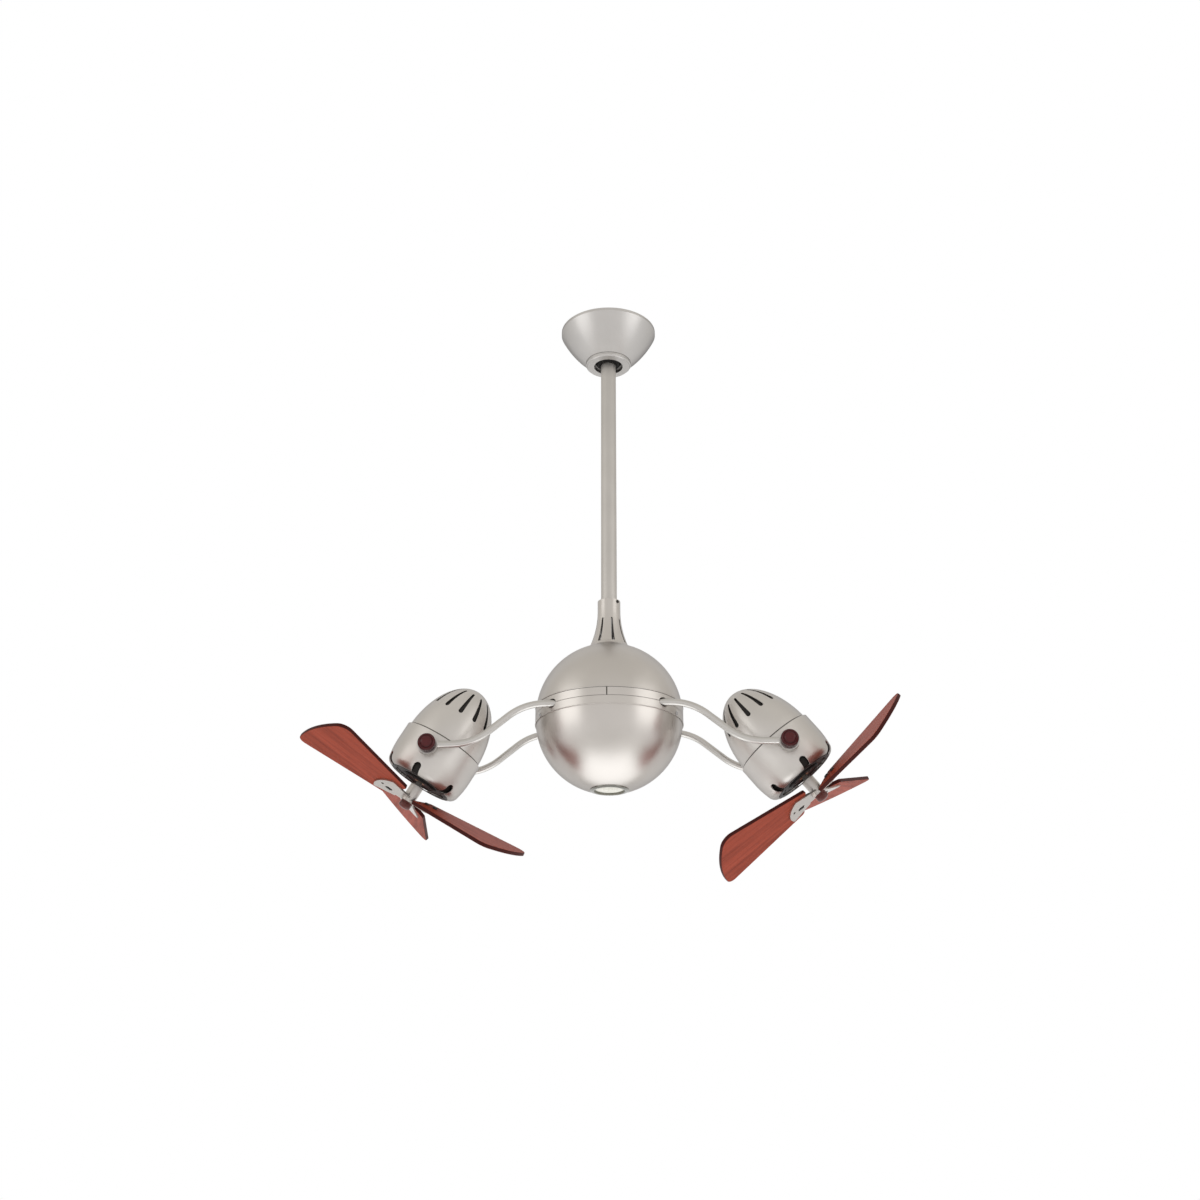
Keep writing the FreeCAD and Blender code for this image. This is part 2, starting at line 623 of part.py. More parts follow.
def bearing_rings(outer, inner):
    """A ring with a ball groove at each bearing."""
    rings = []
    for middle in bearing_middles():
        ring = sleeve(outer, inner, middle - BEARING_WIDTH / 2, middle + BEARING_WIDTH / 2)
        groove = Part.makeTorus(BEARING_PITCH, BEARING_BALL_RADIUS + RUNNING_FIT, point(0, 0, middle), Z_AXIS)
        rings.append(ring.cut(groove))
    return Part.makeCompound(rings)


def spindle_bearing_inner():
    """Inner rings, seated on the spindle."""
    return bearing_rings(BEARING_BORE_RADIUS + BEARING_RING, BEARING_BORE_RADIUS + SEAT_FIT)


def slip_rings():
    """Two contact rings on the spindle's lower end."""
    step = SLIP_RING_WIDTH + SLIP_RING_GAP
    rings = [sleeve(SLIP_RADIUS, SLIP_SEAT_RADIUS + SEAT_FIT, SLIP_FOOT + step * index,
                    SLIP_FOOT + step * index + SLIP_RING_WIDTH) for index in range(2)]
    return Part.makeCompound(rings)


# Turning ball

def arm_line(x_start, x_end, radius):
    """Cutter along X in the front and rear arm planes at the ball's middle."""
    return [rod(radius, point(x_start, side * ARM_SPREAD, -BALL_DROP), X_AXIS, x_end - x_start)
            for side in (-1, 1)]


def arm_holes():
    """Holes in the ball where the four arms come out."""
    return arm_line(-2 * BALL_RADIUS, 2 * BALL_RADIUS, ARM_RADIUS + ARM_HOLE_PLAY)


def shell_screw_places():
    """Angles of the four screws round the ball."""
    return [SHELL_SCREW_ANGLE, 180 - SHELL_SCREW_ANGLE, 180 + SHELL_SCREW_ANGLE, 360 - SHELL_SCREW_ANGLE]


def shell_screw_holes():
    """Radial holes for the screws of the lower shell."""
    start = point(RIM_RADIUS - SHELL_SCREW_LENGTH, 0, -BALL_DROP - SHELL_SCREW_DROP)
    hole = rod(SHELL_SCREW_RADIUS + SEAT_FIT, start, X_AXIS, SHELL_SCREW_LENGTH)
    return [spun(hole, angle) for angle in shell_screw_places()]


def sphere_point(radius, centre, height, sign):
    """Point of a round shell's outline at a radius from Z, above or below its centre."""
    return (height, centre + sign * math.sqrt(radius ** 2 - height ** 2))


def sphere_arc(radius, centre, start, end):
    """Middle and end of the outline's arc between two of its points."""
    angles = [math.atan2(place[1] - centre, place[0]) for place in (start, end)]
    middle = (angles[0] + angles[1]) / 2
    return ((radius * math.cos(middle), centre + radius * math.sin(middle)), end)


def upper_shell():
    """Upper half of the ball, with a recess for the belt and a ledge that rests on the arm carrier."""
    neck_hole = NECK_FOOT_RADIUS - SHELL_NECK_INSET
    belt_radius = math.sqrt(BALL_RADIUS ** 2 - (BELT_TOP - UPPER_CENTRE) ** 2)
    outer_top = sphere_point(BALL_RADIUS, UPPER_CENTRE, neck_hole, 1)
    inner_top = sphere_point(BALL_INNER_RADIUS, UPPER_CENTRE, neck_hole, 1)
    outer_foot = (belt_radius, BELT_TOP)
    inner_foot = (BALL_INNER_RADIUS, UPPER_CENTRE)
    seam = -BALL_DROP + SEAM_GAP
    body = turned([
        outer_top, sphere_arc(BALL_RADIUS, UPPER_CENTRE, outer_top, outer_foot),
        (BELT_INNER_RADIUS, BELT_TOP), (BELT_INNER_RADIUS, seam), (BALL_INNER_RADIUS, seam), inner_foot,
        sphere_arc(BALL_INNER_RADIUS, UPPER_CENTRE, inner_foot, inner_top)])
    ledge = sleeve(BALL_INNER_RADIUS, CARRIER_RADIUS - LEDGE_WIDTH, CARRIER_TOP, CARRIER_TOP + LEDGE_HEIGHT)
    ledge = ledge.common(Part.makeSphere(BALL_INNER_RADIUS + SHELL_WALL / 2, point(0, 0, UPPER_CENTRE)))
    return body.fuse(ledge).cut(arm_holes()).removeSplitter()


def equator_belt():
    """Split spring ring over the upper shell's rim."""
    body = sleeve(RIM_RADIUS, BELT_INNER_RADIUS + SEAT_FIT, -BALL_DROP + SEAM_GAP, BELT_TOP)
    split = slab((-BELT_SPLIT / 2, BELT_SPLIT / 2), (-2 * BALL_RADIUS, 0), (-BALL_DROP, BELT_TOP))
    return body.cut(arm_holes() + [split])


def lower_shell():
    """Lower half of the ball, with a thicker rim, a lip inside the seam and the lamp's hole."""
    hole = LAMP_RING_RADIUS + SEAT_FIT
    rim_foot = -BALL_DROP - RIM_HEIGHT
    rim_sphere = math.sqrt(BALL_RADIUS ** 2 - (rim_foot - LOWER_CENTRE) ** 2)
    outer_rim = (rim_sphere, rim_foot)
    outer_foot = sphere_point(BALL_RADIUS, LOWER_CENTRE, hole, -1)
    inner_foot = sphere_point(BALL_INNER_RADIUS, LOWER_CENTRE, hole, -1)
    inner_rim = (BALL_INNER_RADIUS, LOWER_CENTRE)
    lip_outer = BALL_INNER_RADIUS - SEAT_FIT
    body = turned([
        (RIM_RADIUS, -BALL_DROP), (RIM_RADIUS, rim_foot), outer_rim,
        sphere_arc(BALL_RADIUS, LOWER_CENTRE, outer_rim, outer_foot), inner_foot,
        sphere_arc(BALL_INNER_RADIUS, LOWER_CENTRE, inner_foot, inner_rim),
        (lip_outer - LIP_WALL, LOWER_CENTRE), (lip_outer - LIP_WALL, -BALL_DROP + LIP_HEIGHT),
        (lip_outer, -BALL_DROP + LIP_HEIGHT), (lip_outer, -BALL_DROP)])
    return body.cut(arm_holes() + shell_screw_holes())


def shell_screws():
    """Four radial screws that hold the lower shell to the carrier's tabs."""
    one = screw(SHELL_SCREW_RADIUS, SHELL_SCREW_LENGTH, SHELL_SCREW_HEAD_RADIUS, SHELL_SCREW_HEAD_HEIGHT)
    one = spun(one, 180)
    one = moved(one, RIM_RADIUS, 0, -BALL_DROP - SHELL_SCREW_DROP)
    return Part.makeCompound([spun(one, angle) for angle in shell_screw_places()])


def clamp_screw_holes(extra, foot, top):
    """The four clamp screws, or their holes with some extra radius."""
    feet = [point(x * CLAMP_SCREW_OFFSET, y * ARM_SPREAD, foot) for x in (-1, 1) for y in (-1, 1)]
    return [rod(CLAMP_SCREW_RADIUS + extra, place, Z_AXIS, top - foot) for place in feet]


def arm_carrier():
    """Turning plate with the bearing tube, two clamp blocks for the arms and tabs for the lower shell."""
    plate = upright(CARRIER_RADIUS, CARRIER_FOOT, CARRIER_TOP)
    tube = upright(BEARING_RADIUS + HUB_WALL, CARRIER_TOP, BEARING_TOP)
    block_foot = -BALL_DROP - ARM_RADIUS - CLAMP_FLOOR
    blocks = [slab((-CLAMP_LENGTH / 2, CLAMP_LENGTH / 2),
                   (side * ARM_SPREAD - CLAMP_WIDTH / 2, side * ARM_SPREAD + CLAMP_WIDTH / 2),
                   (block_foot, CARRIER_FOOT)) for side in (-1, 1)]
    tab_outer = BALL_INNER_RADIUS - SEAT_FIT - LIP_WALL - FACE_GAP
    tab_foot = -BALL_DROP - SHELL_SCREW_DROP - TAB_WIDTH / 2
    tab = slab((tab_outer - TAB_DEPTH, tab_outer), (-TAB_WIDTH / 2, TAB_WIDTH / 2), (tab_foot, CARRIER_FOOT))
    tab = tab.common(upright(tab_outer, tab_foot, CARRIER_FOOT))
    tabs = [spun(tab, angle) for angle in shell_screw_places()]
    body = plate.multiFuse([tube] + blocks + tabs)
    seat = BEARING_RADIUS + SEAT_FIT
    cuts = [
        upright(CARRIER_WIRE_RADIUS, CARRIER_FOOT, CARRIER_TOP),
        upright(seat - HUB_SHOULDER, CARRIER_TOP, BEARING_TOP),
        upright(seat, BEARING_TOP - BEARING_WIDTH, BEARING_TOP),
        upright(seat, CARRIER_TOP, BEARING_FOOT)]
    cuts += arm_line(-CLAMP_LENGTH, CLAMP_LENGTH, ARM_RADIUS + SEAT_FIT)
    cuts += clamp_screw_holes(SEAT_FIT, -BALL_DROP, CARRIER_TOP)
    cuts += shell_screw_holes()
    return body.cut(cuts).removeSplitter()


def arm_clamp_screws():
    """Set screws down through the carrier onto the arms."""
    return Part.makeCompound(clamp_screw_holes(0.0, -BALL_DROP + ARM_RADIUS, CARRIER_TOP + CLAMP_SCREW_PROUD))


def spindle_bearing_outer():
    """Outer rings, seated in the carrier's tube."""
    return bearing_rings(BEARING_RADIUS, BEARING_OUTER_BORE)


def spindle_bearing_balls():
    """Balls of both bearings."""
    balls = []
    for middle in bearing_middles():
        one = Part.makeSphere(BEARING_BALL_RADIUS, point(BEARING_PITCH, 0, middle))
        balls += ring_of(one, BEARING_BALL_COUNT)
    return Part.makeCompound(balls)


def brush_block():
    """Block of contact brushes beside the slip rings."""
    start = SLIP_RADIUS + RUNNING_FIT
    top = SLIP_FOOT + 2 * SLIP_RING_WIDTH + SLIP_RING_GAP
    body = slab((0, start + BRUSH_LENGTH), (-BRUSH_WIDTH / 2, BRUSH_WIDTH / 2), (CARRIER_TOP, top))
    return body.cut(upright(start, CARRIER_TOP, top))


def lamp_holder():
    """Stem and socket that hold the lamp under the carrier."""
    socket_top = LAMP_TOP + HOLDER_HEIGHT
    flange = upright(STEM_FLANGE_RADIUS, CARRIER_FOOT - STEM_FLANGE_HEIGHT, CARRIER_FOOT)
    stem = upright(STEM_RADIUS, socket_top, CARRIER_FOOT)
    return upright(HOLDER_RADIUS, LAMP_TOP, socket_top).multiFuse([stem, flange]).removeSplitter()


def lamp():
    """Reflector lamp with a slightly domed face."""
    bowl_top = (LAMP_BASE_RADIUS, LAMP_FACE + LAMP_DEPTH)
    bowl_foot = (LAMP_RADIUS, LAMP_FACE + LAMP_CROWN)
    return turned([
        (0, LAMP_TOP), (LAMP_BASE_RADIUS, LAMP_TOP), bowl_top,
        (bowed(bowl_top, bowl_foot, LAMP_CROWN), bowl_foot), (LAMP_RADIUS, LAMP_FACE),
        dome(LAMP_RADIUS, LAMP_FACE, -LAMP_CROWN)])


def lamp_trim_ring():
    """Bezel round the lamp, with a thin flange that follows the ball."""
    foot = BALL_FOOT - LAMP_RING_HEIGHT
    middle = point(0, 0, LOWER_CENTRE)
    flange = sleeve(LAMP_FLANGE_RADIUS, LAMP_RING_BORE, foot, foot + LAMP_RING_DEPTH)
    flange = flange.common(Part.makeSphere(BALL_RADIUS + LAMP_RING_HEIGHT, middle))
    flange = flange.cut(Part.makeSphere(BALL_RADIUS, middle))
    tube = sleeve(LAMP_RING_RADIUS, LAMP_RING_BORE, foot, foot + LAMP_RING_DEPTH)
    return flange.fuse(tube).removeSplitter()


# Arms

def arm_path(x_start, x_end):
    """Level, bend, slope, bend, level: the middle line of the right front arm."""
    angle = math.radians(ARM_BEND_ANGLE)
    slope = (ARM_DROP * math.sin(angle) - ARM_BEND_RUN * (1 - math.cos(angle))) / (
        math.sin(angle) ** 2 - math.cos(angle) * (1 - math.cos(angle)))
    bend = (ARM_BEND_RUN - slope * math.cos(angle)) / (2 * math.sin(angle))
    half = angle / 2
    first = (ARM_BEND_START, 0.0)
    first_middle = (first[0] + bend * math.sin(half), -bend * (1 - math.cos(half)))
    slope_start = (first[0] + bend * math.sin(angle), -bend * (1 - math.cos(angle)))
    last = (ARM_BEND_START + ARM_BEND_RUN, -ARM_DROP)
    slope_end = (last[0] - bend * math.sin(angle), last[1] + bend * (1 - math.cos(angle)))
    last_middle = (last[0] - bend * math.sin(half), last[1] + bend * (1 - math.cos(half)))
    steps = [(x_start, 0.0), first, (first_middle, slope_start), slope_end,
             (last_middle, last), (x_end, last[1])]
    return Part.Wire(edges_through(steps, lambda x, z: point(x, -ARM_SPREAD, z - BALL_DROP)))


def swept(radius, x_start, x_end):
    """Round bar along the arm's middle line."""
    ring = Part.Wire(Part.makeCircle(radius, point(x_start, -ARM_SPREAD, -BALL_DROP), X_AXIS))
    return arm_path(x_start, x_end).makePipeShell([ring], True, False)


def right_front_arm():
    """Bent tube from the carrier to the eye round a head's pivot stud."""
    eye_start = point(PIVOT_REACH, -ARM_SPREAD - EYE_WIDTH / 2, PIVOT_HEIGHT)
    tube_end = PIVOT_REACH - (EYE_RADIUS + STUD_RADIUS) / 2
    body = swept(ARM_RADIUS, ARM_END_GAP / 2, tube_end)
    body = body.cut(swept(ARM_RADIUS - ARM_WALL, ARM_END_GAP / 2, PIVOT_REACH - EYE_RADIUS))
    body = body.fuse(rod(EYE_RADIUS, eye_start, Y_AXIS, EYE_WIDTH))
    return body.cut(rod(STUD_RADIUS + RUNNING_FIT, eye_start, Y_AXIS, EYE_WIDTH)).removeSplitter()


# Heads, each in its own frame: Z runs from the pivot to the blades, and the pivot axis is Y

def head_place(side, tilt):
    """Where a head's own frame lies: side is -1 for the left head and 1 for the right."""
    angle = math.radians(tilt)
    matrix = FreeCAD.Matrix(
        -side * math.cos(angle), 0, side * math.sin(angle), side * PIVOT_REACH,
        0, side, 0, 0,
        -math.sin(angle), 0, -math.cos(angle), PIVOT_HEIGHT,
        0, 0, 0, 1)
    return FreeCAD.Placement(matrix)


def along_pivot(radius, start, end, side):
    """Cylinder on the pivot axis between two distances from the head's axis."""
    return rod(radius, point(0, side * start, 0), point(0, side, 0), end - start)


def front_case():
    """Drum round the motor with a rolled front lip, notches through the lip and two pivot bosses."""
    shoulder_radius = CASE_RADIUS - CASE_SHOULDER_INSET
    start = (CASE_RADIUS, CASE_STRAIGHT)
    shoulder = (shoulder_radius, CASE_SHOULDER)
    corner = (shoulder_radius - CASE_CORNER, CASE_FRONT)
    inner_start = (start[0] - CASE_WALL, start[1])
    inner_shoulder = (shoulder[0] - CASE_WALL, shoulder[1])
    inner_corner = (corner[0], corner[1] - CASE_WALL)
    opening = corner[0] - CASE_LIP
    bend = CASE_SHOULDER_INSET / 4
    round_off = CASE_CORNER / 4
    body = turned([
        (CASE_RADIUS, -CASE_SEAM), start, (bowed(start, shoulder, -bend), shoulder),
        (bowed(shoulder, corner, -round_off), corner), (opening, CASE_FRONT), (opening, CASE_FRONT - CASE_WALL),
        inner_corner, (bowed(inner_corner, inner_shoulder, round_off), inner_shoulder),
        (bowed(inner_shoulder, inner_start, bend), inner_start), (inner_start[0], -CASE_SEAM)])
    bosses = [along_pivot(BOSS_RADIUS, CASE_INNER_RADIUS - CASE_WALL, BOSS_FACE, side) for side in (-1, 1)]
    inside = upright(CASE_INNER_RADIUS, -CASE_SEAM, CASE_STRAIGHT + BOSS_RADIUS)
    bosses = [boss.cut(inside) for boss in bosses]
    cut_start = NOTCH_START + NOTCH_WIDTH / 2
    notch = slab((0, 2 * CASE_RADIUS), (-NOTCH_WIDTH / 2, NOTCH_WIDTH / 2), (cut_start, 2 * CASE_FRONT))
    notch = notch.fuse(rod(NOTCH_WIDTH / 2, point(0, 0, cut_start), X_AXIS, 2 * CASE_RADIUS))
    bores = [along_pivot(STUD_RADIUS + SEAT_FIT, CAN_RADIUS, BOSS_FACE, side) for side in (-1, 1)]
    body = body.multiFuse(bosses).cut(ring_of(notch, NOTCH_COUNT, NOTCH_ANGLE) + bores)
    return body.removeSplitter()


def nose_arc(length, radius, foot):
    """Ellipse edge from the nose's tip out to a height."""
    middle = point(0, 0, NOSE_MIDDLE)
    curve = Part.Ellipse(point(0, 0, NOSE_MIDDLE - length), point(radius, 0, NOSE_MIDDLE), middle)
    return Part.Arc(curve, 0.0, math.acos((NOSE_MIDDLE - foot) / length)).toShape()


def rear_case(slot_angle):
    """Egg-shaped cover behind the motor, with slots in its nose and the rear bush's bulkhead inside."""
    lap_radius = CASE_INNER_RADIUS - FACE_GAP
    inner_radius = NOSE_RADIUS - CASE_WALL
    outer = nose_arc(NOSE_LENGTH, NOSE_RADIUS, -CASE_SEAM)
    inner = nose_arc(NOSE_LENGTH - CASE_WALL, inner_radius, -CASE_SEAM)
    seam_outer = outer.valueAt(outer.LastParameter)
    seam_inner = inner.valueAt(inner.LastParameter)
    lap_top = NOSE_LAP - CASE_SEAM
    rim = [seam_outer, point(lap_radius, 0, -CASE_SEAM), point(lap_radius, 0, lap_top),
           point(seam_inner.x, 0, lap_top), seam_inner]
    edges = [Part.LineSegment(start, end).toShape() for start, end in zip(rim, rim[1:])]
    tip = Part.LineSegment(inner.valueAt(0.0), outer.valueAt(0.0)).toShape()
    wire = Part.Wire(Part.sortEdges([outer, inner, tip] + edges)[0])
    body = Part.Face(wire).revolve(ORIGIN, Z_AXIS, 360)
    bush_seat = BUSH_RADIUS + SEAT_FIT
    wall_mid = seam_inner.x + CASE_WALL / 4
    bulkhead = sleeve(wall_mid, bush_seat, BULKHEAD_REAR, BULKHEAD_REAR + BULKHEAD)
    seat = sleeve(bush_seat + BUSH_SEAT_WALL, bush_seat, BULKHEAD_REAR - BUSH_LENGTH, BULKHEAD_REAR + BULKHEAD)
    slot = tapered_slot(NOSE_SLOT_LENGTH, NOSE_SLOT_BASE_WIDTH, NOSE_SLOT_TIP_WIDTH, NOSE_RADIUS)
    slot = moved(slot, BUSH_RADIUS, 0, NOSE_TIP + NOSE_SLOT_START + NOSE_SLOT_LENGTH)
    slots = ring_of(slot, NOSE_SLOT_COUNT, slot_angle)
    return body.multiFuse([bulkhead, seat]).cut(slots).removeSplitter()


def motor_can():
    """Dark cup that holds the stator and the front bush, with an end disc in the case's open front."""
    front_radius = CASE_RADIUS - CASE_SHOULDER_INSET - CASE_CORNER - CAN_CORNER_GAP
    rear = STATOR_REAR - WINDING_HEIGHT
    cup = turned([
        (CAN_INNER_RADIUS, rear), (CAN_RADIUS, rear), (CAN_RADIUS, CASE_SHOULDER), (front_radius, CAN_FRONT),
        (BUSH_RADIUS, CAN_FRONT), (BUSH_RADIUS, CAN_FRONT - CAN_PLATE),
        (front_radius - CAN_WALL, CAN_FRONT - CAN_PLATE), (CAN_INNER_RADIUS, CASE_SHOULDER)])
    disc = upright(END_DISC_RADIUS, CAN_FRONT, END_DISC_FACE)
    seat = upright(BUSH_RADIUS + BUSH_SEAT_WALL, END_DISC_FACE - BUSH_LENGTH - CAN_PLATE, CAN_FRONT)
    body = cup.multiFuse([disc, seat])
    return body.cut(upright(BUSH_RADIUS + SEAT_FIT, STATOR_REAR, END_DISC_FACE)).removeSplitter()


def stator():
    """Laminated ring with its two winding heads."""
    core = sleeve(CAN_INNER_RADIUS - SEAT_FIT, STATOR_BORE_RADIUS, STATOR_REAR, STATOR_FRONT)
    winding_inner = STATOR_BORE_RADIUS + WINDING_INSET
    winding_outer = CAN_INNER_RADIUS - WINDING_INSET
    rear = sleeve(winding_outer, winding_inner, STATOR_REAR - WINDING_HEIGHT, STATOR_REAR)
    front = sleeve(winding_outer, winding_inner, STATOR_FRONT, STATOR_FRONT + WINDING_HEIGHT)
    return core.multiFuse([rear, front]).removeSplitter()


def motor_bushes():
    """Plain bushes of the rotor's shaft, rear and front."""
    bore = SHAFT_RADIUS + RUNNING_FIT
    rear = sleeve(BUSH_RADIUS, bore, BULKHEAD_REAR - BUSH_LENGTH, BULKHEAD_REAR)
    front = sleeve(BUSH_RADIUS, bore, END_DISC_FACE - BUSH_LENGTH, END_DISC_FACE)
    return Part.makeCompound([rear, front])


def pivot_studs():
    """Two headed studs through the bosses and the arms' eyes, threaded for the knobs."""
    studs = []
    head_face = CASE_INNER_RADIUS - CASE_WALL / 2
    for side in (-1, 1):
        head = along_pivot(STUD_HEAD_RADIUS, head_face - STUD_HEAD_HEIGHT, head_face, side)
        shank = along_pivot(STUD_RADIUS, head_face - STUD_HEAD_HEIGHT, EYE_OUTER_FACE, side)
        thread = along_pivot(STUD_THREAD_RADIUS, EYE_OUTER_FACE, EYE_OUTER_FACE + STUD_THREAD_LENGTH, side)
        studs.append(head.multiFuse([shank, thread]).removeSplitter())
    return Part.makeCompound(studs)


def knob(side):
    """Turned wooden knob on a stud's thread."""
    waist = KNOB_LENGTH - KNOB_CROWN
    depth = STUD_THREAD_LENGTH
    bore = STUD_THREAD_RADIUS + RUNNING_FIT
    body = turned([
        (bore, 0), (KNOB_BASE_RADIUS, 0), (KNOB_RADIUS, KNOB_FLARE), (KNOB_RADIUS, waist),
        dome(KNOB_RADIUS, waist, KNOB_CROWN), (0, depth), (bore, depth)])
    body.rotate(ORIGIN, X_AXIS, -90 * side)
    return moved(body, 0, side * KNOB_SEAT, 0)


# Rotors, in the head's own frame

def blade_outline():
    """Blade outline in its own plane: X runs out from the shaft, Y to the leading edge."""
    lead_tip = (BLADE_TIP - BLADE_LEAD_SHORT, BLADE_TIP_LEAD)
    trail_tip = (BLADE_TIP, -BLADE_TIP_TRAIL)
    tip_middle = bowed(trail_tip, lead_tip, -BLADE_TIP_CROWN)
    return [(BLADE_ROOT, BLADE_ROOT_LEAD), (BLADE_ROOT, -BLADE_ROOT_TRAIL), trail_tip, (tip_middle, lead_tip)]


def upright_edges(shape, places):
    """The prism's edges that stand at the given (x, y) places."""
    found = []
    for edge in shape.Edges:
        ends = [vertex.Point for vertex in edge.Vertexes]
        if len(ends) == 2 and abs(ends[0].z - ends[1].z) > BLADE_THICKNESS / 2:
            if any(math.hypot(ends[0].x - x, ends[0].y - y) < SEAT_FIT for x, y in places):
                found.append(edge)
    return found


def flat_blade():
    """Blade before it is pitched, centred on its own plane."""
    steps = blade_outline()
    root_lead, root_trail, trail_tip, (_, lead_tip) = steps
    body = moved(prism(steps, BLADE_THICKNESS), 0, 0, -BLADE_THICKNESS / 2)
    body = body.makeFillet(BLADE_LEAD_CORNER, upright_edges(body, [lead_tip]))
    body = body.makeFillet(BLADE_TRAIL_CORNER, upright_edges(body, [trail_tip]))
    body = body.makeFillet(BLADE_ROOT_CORNER, upright_edges(body, [root_lead, root_trail]))
    level = [edge for edge in body.Edges
             if abs(edge.BoundBox.ZMax - edge.BoundBox.ZMin) < SEAT_FIT]
    body = body.makeFillet(min(BLADE_EDGE, BLADE_THICKNESS / 3), level)
    return body.cut([blade_screw_line(BLADE_SCREW_RADIUS + SEAT_FIT, reach, -BLADE_THICKNESS, BLADE_THICKNESS)
                     for reach in blade_screw_reaches()])


def blade_screw_reaches():
    """Distances of a blade's screws from the shaft."""
    last = BLADE_ROOT + IRON_REACH - BLADE_SCREW_EDGE
    return [last - BLADE_SCREW_SPACING, last]


def blade_screw_line(radius, reach, foot, top):
    """Cylinder square to the blade at one screw's place, on the middle of the blade's root."""
    return rod(radius, point(reach, BLADE_ROOT_MIDDLE, foot), Z_AXIS, top - foot)


def on_rotor(shape, angle):
    """Copy of a flat blade's shape, pitched and turned to its place round the shaft."""
    copy = shape.copy()
    copy.rotate(ORIGIN, X_AXIS, BLADE_PITCH)
    copy.rotate(ORIGIN, Z_AXIS, angle)
    copy.translate(point(0, 0, HUB_OFFSET))
    return copy


def blade_angles(first):
    """Turns of the blades round the shaft."""
    return [first + 360.0 * index / BLADE_COUNT for index in range(BLADE_COUNT)]


def blade_spider(first):
    """Hub with one iron on the front of each blade."""
    half_root = IRON_ROOT_WIDTH / 2
    lead_end = (BLADE_ROOT + IRON_REACH - IRON_CROWN, BLADE_ROOT_MIDDLE + IRON_END_WIDTH / 2)
    trail_end = (lead_end[0], BLADE_ROOT_MIDDLE - IRON_END_WIDTH / 2)
    end_middle = (BLADE_ROOT + IRON_REACH, BLADE_ROOT_MIDDLE)
    plate = prism([(0, half_root), (0, -half_root), trail_end, (end_middle, lead_end)], IRON_THICKNESS)
    plate = moved(plate, 0, 0, BLADE_THICKNESS / 2)
    inner, outer = blade_screw_reaches()
    hole_radius = BLADE_SCREW_RADIUS + SEAT_FIT
    slot_half = IRON_SLOT_LENGTH / 2 - hole_radius
    ends = [inner - slot_half, inner + slot_half]
    cuts = [blade_screw_line(hole_radius, reach, 0, 2 * BLADE_THICKNESS) for reach in ends + [outer]]
    cuts.append(slab(ends, (BLADE_ROOT_MIDDLE - hole_radius, BLADE_ROOT_MIDDLE + hole_radius),
                     (0, 2 * BLADE_THICKNESS)))
    plate = plate.cut(cuts)
    irons = [on_rotor(plate, angle) for angle in blade_angles(first)]
    hub = upright(HUB_RADIUS, HUB_REAR, HUB_FRONT)
    body = hub.multiFuse(irons).cut(upright(SHAFT_RADIUS + SEAT_FIT, 0, 2 * HUB_FRONT))
    above = upright(2 * HUB_RADIUS, HUB_FRONT, 2 * HUB_FRONT)
    return body.cut(above).removeSplitter()


def blade_screws(first):
    """Pan-headed screws from the rear of each blade into its iron."""
    seat = -BLADE_THICKNESS / 2
    tip = BLADE_THICKNESS / 2 + BLADE_SCREW_DEPTH
    screws = []
    for angle in blade_angles(first):
        for reach in blade_screw_reaches():
            shank = blade_screw_line(BLADE_SCREW_RADIUS, reach, seat, tip)
            head = blade_screw_line(BLADE_SCREW_HEAD_RADIUS, reach, seat - BLADE_SCREW_HEAD_HEIGHT, seat)
            screws.append(on_rotor(shank.fuse(head).removeSplitter(), angle))
    return Part.makeCompound(screws)


def armature():
    """Rotor core on the shaft."""
    core = upright(STATOR_BORE_RADIUS - AIR_GAP, STATOR_REAR, STATOR_FRONT)
    return core.fuse(upright(SHAFT_RADIUS, SHAFT_REAR, SHAFT_FRONT)).removeSplitter()


def hub_nut():
    """Domed nut on the shaft's end."""
    bore = SHAFT_RADIUS + SEAT_FIT
    return turned([
        (bore, HUB_FRONT), (HUB_NUT_RADIUS, HUB_FRONT), (HUB_NUT_RADIUS, SHAFT_FRONT),
        dome(HUB_NUT_RADIUS, SHAFT_FRONT, HUB_NUT_CROWN), (0, SHAFT_FRONT), (bore, SHAFT_FRONT)])


def head_nodes(name, side, tilt, first, slot_angle):
    """All pieces of one head, its rotor and its knobs, in their place."""
    nodes = {
        "rear_case": rear_case(slot_angle),
        "front_case": front_case(),
        "motor_can": motor_can(),
        "stator": stator(),
        "motor_bushes": motor_bushes(),
        "pivot_studs": pivot_studs(),
        "armature": armature(),
        "blade_spider": blade_spider(first),
        "blade_screws": blade_screws(first),
        "hub_nut": hub_nut(),
        "front_knob": knob(-side),
        "rear_knob": knob(side)}
    blade = flat_blade()
    for number, angle in enumerate(blade_angles(first), 1):
        nodes["blade_%d" % number] = on_rotor(blade, angle)
    place = head_place(side, tilt)
    return {"%s_%s" % (name, piece): shape.transformed(place.toMatrix()) for piece, shape in nodes.items()}


